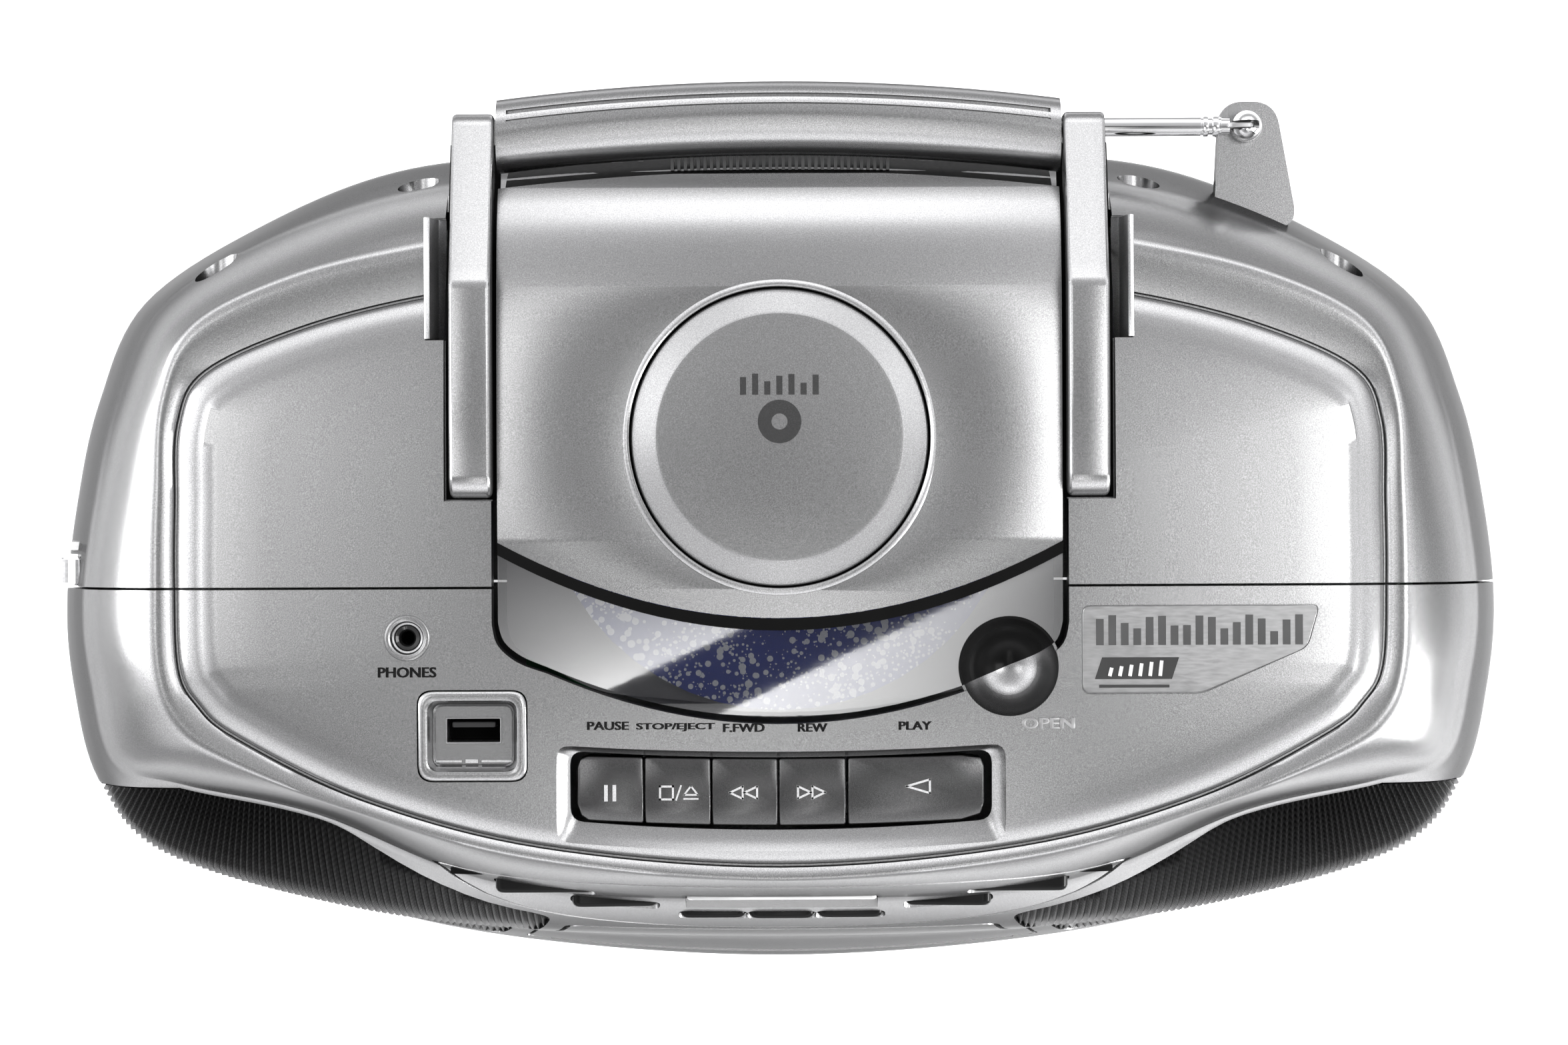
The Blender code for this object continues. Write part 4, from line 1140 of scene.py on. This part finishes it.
# The strip between the lid's rear edge and the grip is painted shade; grey vent teeth sit over its middle.
strip = rear_strip("grip_shade_strip", (93.6, 89.2), (101.0, 98.5), 0.12, 0.6)
dress(smooth(strip, 60), SHADE_BLACK, "housing")

teeth = [box((x, 94.4, skin_z(x, 96.0) - 0.6), (x + 0.8, 98.4, skin_z(x, 94.4) + 0.5))
         for x in (-27.4 + 1.66 * k for k in range(34))]
dress(to_object("vent_teeth", joined(teeth)), GREY, "housing")


# The telescopic antenna

AXIS = (0.0, 105.75, 105.0)
TUBES = (
    ("antenna_base_tube", 48, "antenna", "antenna_base",
     [(2.2, -62), (2.55, -62), (2.6, -61.7), (2.6, 108.0), (2.35, 108.1), (2.35, 108.5), (2.75, 108.6),
      (2.85, 109.2), (2.75, 109.8), (2.3, 110.0), (2.3, 110.9), (2.75, 111.1), (2.85, 111.8), (2.75, 112.5),
      (2.3, 112.7), (2.3, 113.2), (2.0, 113.3), (2.0, 115.4), (1.9, 115.4), (1.9, 113.0), (2.2, 112.9),
      (2.2, -62)]),
    ("antenna_middle_tube", 40, "antenna_second", "antenna_middle",
     [(1.4, -63.4), (1.7, -63.4), (1.85, -63.2), (1.85, 111.9), (1.4, 111.9), (1.4, -63.4)]),
    ("antenna_tip_rod", 40, "antenna_third", "antenna_tip",
     [(0, -70), (1.6, -70), (2.2, -69.5), (2.35, -68.6), (2.35, -65.2), (1.9, -64.3), (1.05, -64.0),
      (1.05, 110), (0, 110)]),
)
for name, sides, body, node, profile in TUBES:
    tube = to_object(name, turned(profile, AXIS, ACROSS, sides))
    dress(smooth(tube, 30), CHROME, body, node)
low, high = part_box("antenna_swivel")
profile = [(0, low.z / MM), (2.0, low.z / MM), (2.0, 101.8), (3.4, 101.8), (3.9, 102.3), (3.9, 106.4),
           (3.8, 107.6), (3.2, 109.2), (2.2, 110.6), (1.2, 111.25), (0, high.z / MM)]
swivel = to_object("antenna_knuckle", turned(profile, (*SWIVEL_AT, 0), UP, 56))
cut(swivel, box((110, 104.7, 102.6), (122.6, 106.8, 113)))
bake(swivel)
dress(smooth(swivel, 30), CHROME, "antenna", "antenna_swivel")
outline = rounded([(114.6, 103.4), (121.6, 103.4), (121.6, 108.6), (114.6, 108.6)], 1.6, 4)
blade = to_object("antenna_blade", slab(outline, "Y", 105.1, 106.4))
soften(blade, 0.2)
dress(smooth(blade, 30), STEEL, "antenna")


# The volume wheel and the function switch

low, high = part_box("volume_wheel")
middle = [(a + b) / 2 / MM for a, b in zip(low, high)]
radius, half = (high.x - low.x) / 2 / MM, (high.y - low.y) / 2 / MM
rim = [(radius - 0.02 - (0.55 if k % 2 else 0.0), 2 * math.pi * (k // 2 + (0.5 if k % 2 else 0.0)) / 90)
       for k in range(180)]
rings = []
for y, share in ((-half, 0.93), (-half + 0.7, 1.0), (half - 0.7, 1.0), (half, 0.93)):
    rings.append([(middle[0] + r * share * math.cos(a), middle[1] + y, middle[2] + r * share * math.sin(a))
                  for r, a in rim])
wheel = to_object("volume_knob", loft(rings))
dress(smooth(wheel, 30), CHROME, "volume", "volume_wheel")
low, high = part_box("function_switch")
slider = to_object("function_slider", box(tuple(low / MM), tuple(high / MM)))
for k in range(3):
    y = low.y / MM + 0.35 + 0.52 * k
    cut(slider, box((low.x / MM - 1, y, low.z / MM - 1), (low.x / MM + 0.5, y + 0.24, high.z / MM + 1)))
bake(slider)
dress(smooth(slider), CHROME, "function", "function_switch")


# A generic mark on the dial: a row of bars over a small ring

dial_marks = [bar(-9.0 + 3.0 * k, 37.2, -9.0 + 3.0 * k, 38.4 + 2.6 * abs(math.sin(0.7 + 1.1 * k)), 1.5)
              for k in range(7)]
dress(to_object("dial_bars", raised(dial_marks, CAP_TOP, 0.12)), KEY_SHADE_AND_MARK_SILVER, "lid")
profile = [(2.0, CAP_TOP - 0.3), (5.4, CAP_TOP - 0.3), (5.4, CAP_TOP + 0.1), (2.0, CAP_TOP + 0.1),
           (2.0, CAP_TOP - 0.3)]
icon = to_object("dial_disc_icon", turned(profile, (0, 29.8, 0), UP, 56))
dress(smooth(icon), KEY_SHADE_AND_MARK_SILVER, "lid")


# What is left of the CAD nodes, in finished materials

CARRIED = (
    (DISC_BLUE, "compact_disc"),
    (GREY, "cd_deck"),
    (BLACK, "cd_turntable disc_clamp optical_pickup supply_reel take_up_reel mains_inlet"),
    (STEEL, "spindle_motor pickup_rail tape_deck capstan_flywheel tape_motor power_transformer speaker_left"
            " speaker_right"),
    (BOARD, "main_board"),
    (PAPER, "speaker_cone_left speaker_cone_right"),
    (RUBBER, "foot_front_left foot_front_right foot_rear_left foot_rear_right"),
    (SILVER, "battery_door"),
)
for finish, nodes in CARRIED:
    for node in nodes.split():
        data = NODES[node].data
        data.materials.clear()
        data.materials.append(finish)
        data.shade_smooth()
        data.set_sharp_from_angle(angle=math.radians(35))


# Floor, light and camera

FLOOR_HALF = 4000.0
WHITE_REACH, GREY_REACH = 0.285, 0.42

floor_bm = bmesh.new()
bmesh.ops.create_grid(floor_bm, x_segments=1, y_segments=1, size=FLOOR_HALF)
floor = to_object("floor", floor_bm)
made, tree, shader = new_material("pale_floor")
where = tree.nodes.new("ShaderNodeTexCoord")
reach = tree.nodes.new("ShaderNodeVectorMath")
reach.operation = "LENGTH"
tree.links.new(where.outputs["Object"], reach.inputs[0])
fall = ramp(tree, reach.outputs["Value"],
            [(WHITE_REACH, grey(1.0)), (GREY_REACH, grey(0.3)), (1.0, grey(0.22))])
tree.links.new(fall.outputs["Color"], shader.inputs["Base Color"])
tree.links.new(fall.outputs["Color"], shader.inputs["Emission Color"])
shader.inputs["Roughness"].default_value = 0.9
shader.inputs["Emission Strength"].default_value = 0.55
floor.data.materials.append(made)

world = bpy.data.worlds.new("studio")
bpy.context.scene.world = world
world.use_nodes = True
tree = world.node_tree
where = tree.nodes.new("ShaderNodeTexCoord")
split = tree.nodes.new("ShaderNodeSeparateXYZ")
tree.links.new(where.outputs["Generated"], split.inputs["Vector"])


def lit(axis, stops):
    """A brightness for each value of one direction's part, from -1 to +1."""
    place = tree.nodes.new("ShaderNodeMapRange")
    place.inputs["From Min"].default_value = -1.0
    place.inputs["From Max"].default_value = 1.0
    tree.links.new(split.outputs[axis], place.inputs["Value"])
    return ramp(tree, place.outputs["Result"], [((p + 1) / 2, grey(v)) for p, v in stops]).outputs["Color"]


def product(a, b):
    made = tree.nodes.new("ShaderNodeMix")
    made.data_type = "RGBA"
    made.blend_type = "MULTIPLY"
    made.inputs["Factor"].default_value = 1.0
    tree.links.new(a, made.inputs["A"])
    tree.links.new(b, made.inputs["B"])
    return made.outputs["Result"]


upward = lit("Z", [(-0.1, 0.3), (0.1, 0.5), (0.3, 0.85), (0.45, 1.0), (0.64, 1.0), (0.78, 0.55), (0.9, 0.3),
                   (1.0, 0.22)])
backward = lit("Y", [(-1.0, 0.95), (-0.85, 0.7), (-0.62, 0.48), (-0.3, 0.4), (-0.1, 0.5), (0.06, 0.85),
                     (0.3, 0.9), (0.6, 0.62), (0.85, 0.8), (1.0, 0.5)])
sideways = lit("X", [(-1.0, 1.0), (-0.6, 1.0), (-0.15, 0.85), (0.15, 0.9), (0.4, 1.0), (0.66, 0.95),
                     (0.85, 0.4), (1.0, 0.3)])
background = tree.nodes["Background"]
tree.links.new(product(product(upward, backward), sideways), background.inputs["Color"])
background.inputs["Strength"].default_value = 3.0


def area_light(name, place, target, size, power, size_y=None):
    data = bpy.data.lights.new(name, "AREA")
    data.energy = power
    data.size = size
    if size_y:
        data.shape = "RECTANGLE"
        data.size_y = size_y
    made = bpy.data.objects.new(name, data)
    made.location = place
    made.rotation_euler = (Vector(target) - Vector(place)).to_track_quat("-Z", "Y").to_euler()
    bpy.context.scene.collection.objects.link(made)


for light in (
        ("low_left", (-0.62, 0.1, 0.22), (-0.1, 0.03, 0.08), 0.35, 2.4, 0.25),
        ("low_right", (0.55, -0.24, 0.26), (0.15, -0.04, 0.08), 0.25, 5.0, 0.25),
        ("soft_right", (0.66, 0.02, 1.6), (0.1, 0, 0.1), 0.5, 3.2),
        ("soft_left", (-0.6, 0.12, 1.6), (-0.1, 0, 0.1), 0.4, 1.1),
        ("soft_rear", (0.0, 1.6, 0.9), (0, 0, 0.1), 0.9, 2)):
    area_light(*light)


# Two overhead cards, shaped so that the window mirrors them as straight diagonal bands.

CARD_Z = 1700.0
CARD_GLOW = 4.2
CARD_ROWS, CARD_COLUMNS = 72, 12
WINDOW_REAR, WINDOW_LENGTH = 4.0, 48.6
# The camera's place, in millimetres
EYE = Vector((1.0, 4.75, 1250.0))


def mirrored(x, y):
    """Where the camera's ray lands on the cards' plane after the window turns it back."""
    slope = (lid_z(y + 0.3) - lid_z(y - 0.3)) / 0.6
    normal = Vector((0, -slope, 1)).normalized()
    spot = Vector((x, y, lid_z(y)))
    ray = (spot - EYE).normalized()
    back = ray - 2 * ray.dot(normal) * normal
    return spot + back * ((CARD_Z - spot.z) / back.z)


def card(name, edge_x, far_x, glow):
    """A glowing card, from the window's line edge_x(y) out to far_x."""
    bm = bmesh.new()
    shade = bm.verts.layers.float.new("glow")
    grid = []
    for row in range(CARD_ROWS + 1):
        y = WINDOW_REAR - WINDOW_LENGTH * row / CARD_ROWS
        line = []
        for column in range(CARD_COLUMNS + 1):
            share = column / CARD_COLUMNS
            vertex = bm.verts.new(mirrored(edge_x(y) + (far_x - edge_x(y)) * share, y))
            vertex[shade] = glow(share, row / CARD_ROWS)
            line.append(vertex)
        grid.append(line)
    for a, b in zip(grid, grid[1:]):
        for column in range(CARD_COLUMNS):
            bm.faces.new((a[column], a[column + 1], b[column + 1], b[column]))
    made = to_object(name, bm)
    finish, tree, shader = new_material(name + "_glow")
    amount = tree.nodes.new("ShaderNodeAttribute")
    amount.attribute_name = "glow"
    shader.inputs["Base Color"].default_value = (0, 0, 0, 1)
    shader.inputs["Emission Color"].default_value = (1, 1, 1, 1)
    tree.links.new(amount.outputs["Fac"], shader.inputs["Emission Strength"])
    made.data.materials.append(finish)
    return made


card("card_left", lambda y: -9.9 + (y + 21.6) * 2.236, -76.0,
     lambda s, t: CARD_GLOW * (1 - 0.75 * s) * (0.12 + 0.88 * t))
card("card_right", lambda y: 31.5 + (y + 21.1) * 2.164, 76.0,
     lambda s, t: CARD_GLOW * (1 - 0.85 * s) * (0.15 + 0.85 * t))

# A dark flag over the lid, which keeps the dial, the lid's front and the keys grey
flag_bm = bmesh.new()
flag_outline = ((-215, -820), (215, -820), (215, 110), (-215, 50))
flag_bm.faces.new([flag_bm.verts.new((x, y, CARD_Z + 6)) for x, y in flag_outline])
flag = to_object("dark_flag", flag_bm)
finish, tree, shader = new_material("flag_cloth")
coloured(tree, shader, noise(tree, 50.0).outputs["Fac"], [(0.3, grey(0.015)), (0.7, grey(0.03))])
shader.inputs["Roughness"].default_value = 1.0
flag.data.materials.append(finish)

camera_data = bpy.data.cameras.new("camera")
camera_data.lens = 102.7
camera_data.sensor_width = 36.0
camera_data.clip_end = 10.0
camera = bpy.data.objects.new("camera", camera_data)
camera.location = (0.001, 0.00475, 1.25)
camera.rotation_euler = (0, 0, math.radians(-0.25))
bpy.context.scene.collection.objects.link(camera)
bpy.context.scene.camera = camera
bpy.context.scene.view_settings.view_transform = "Standard"
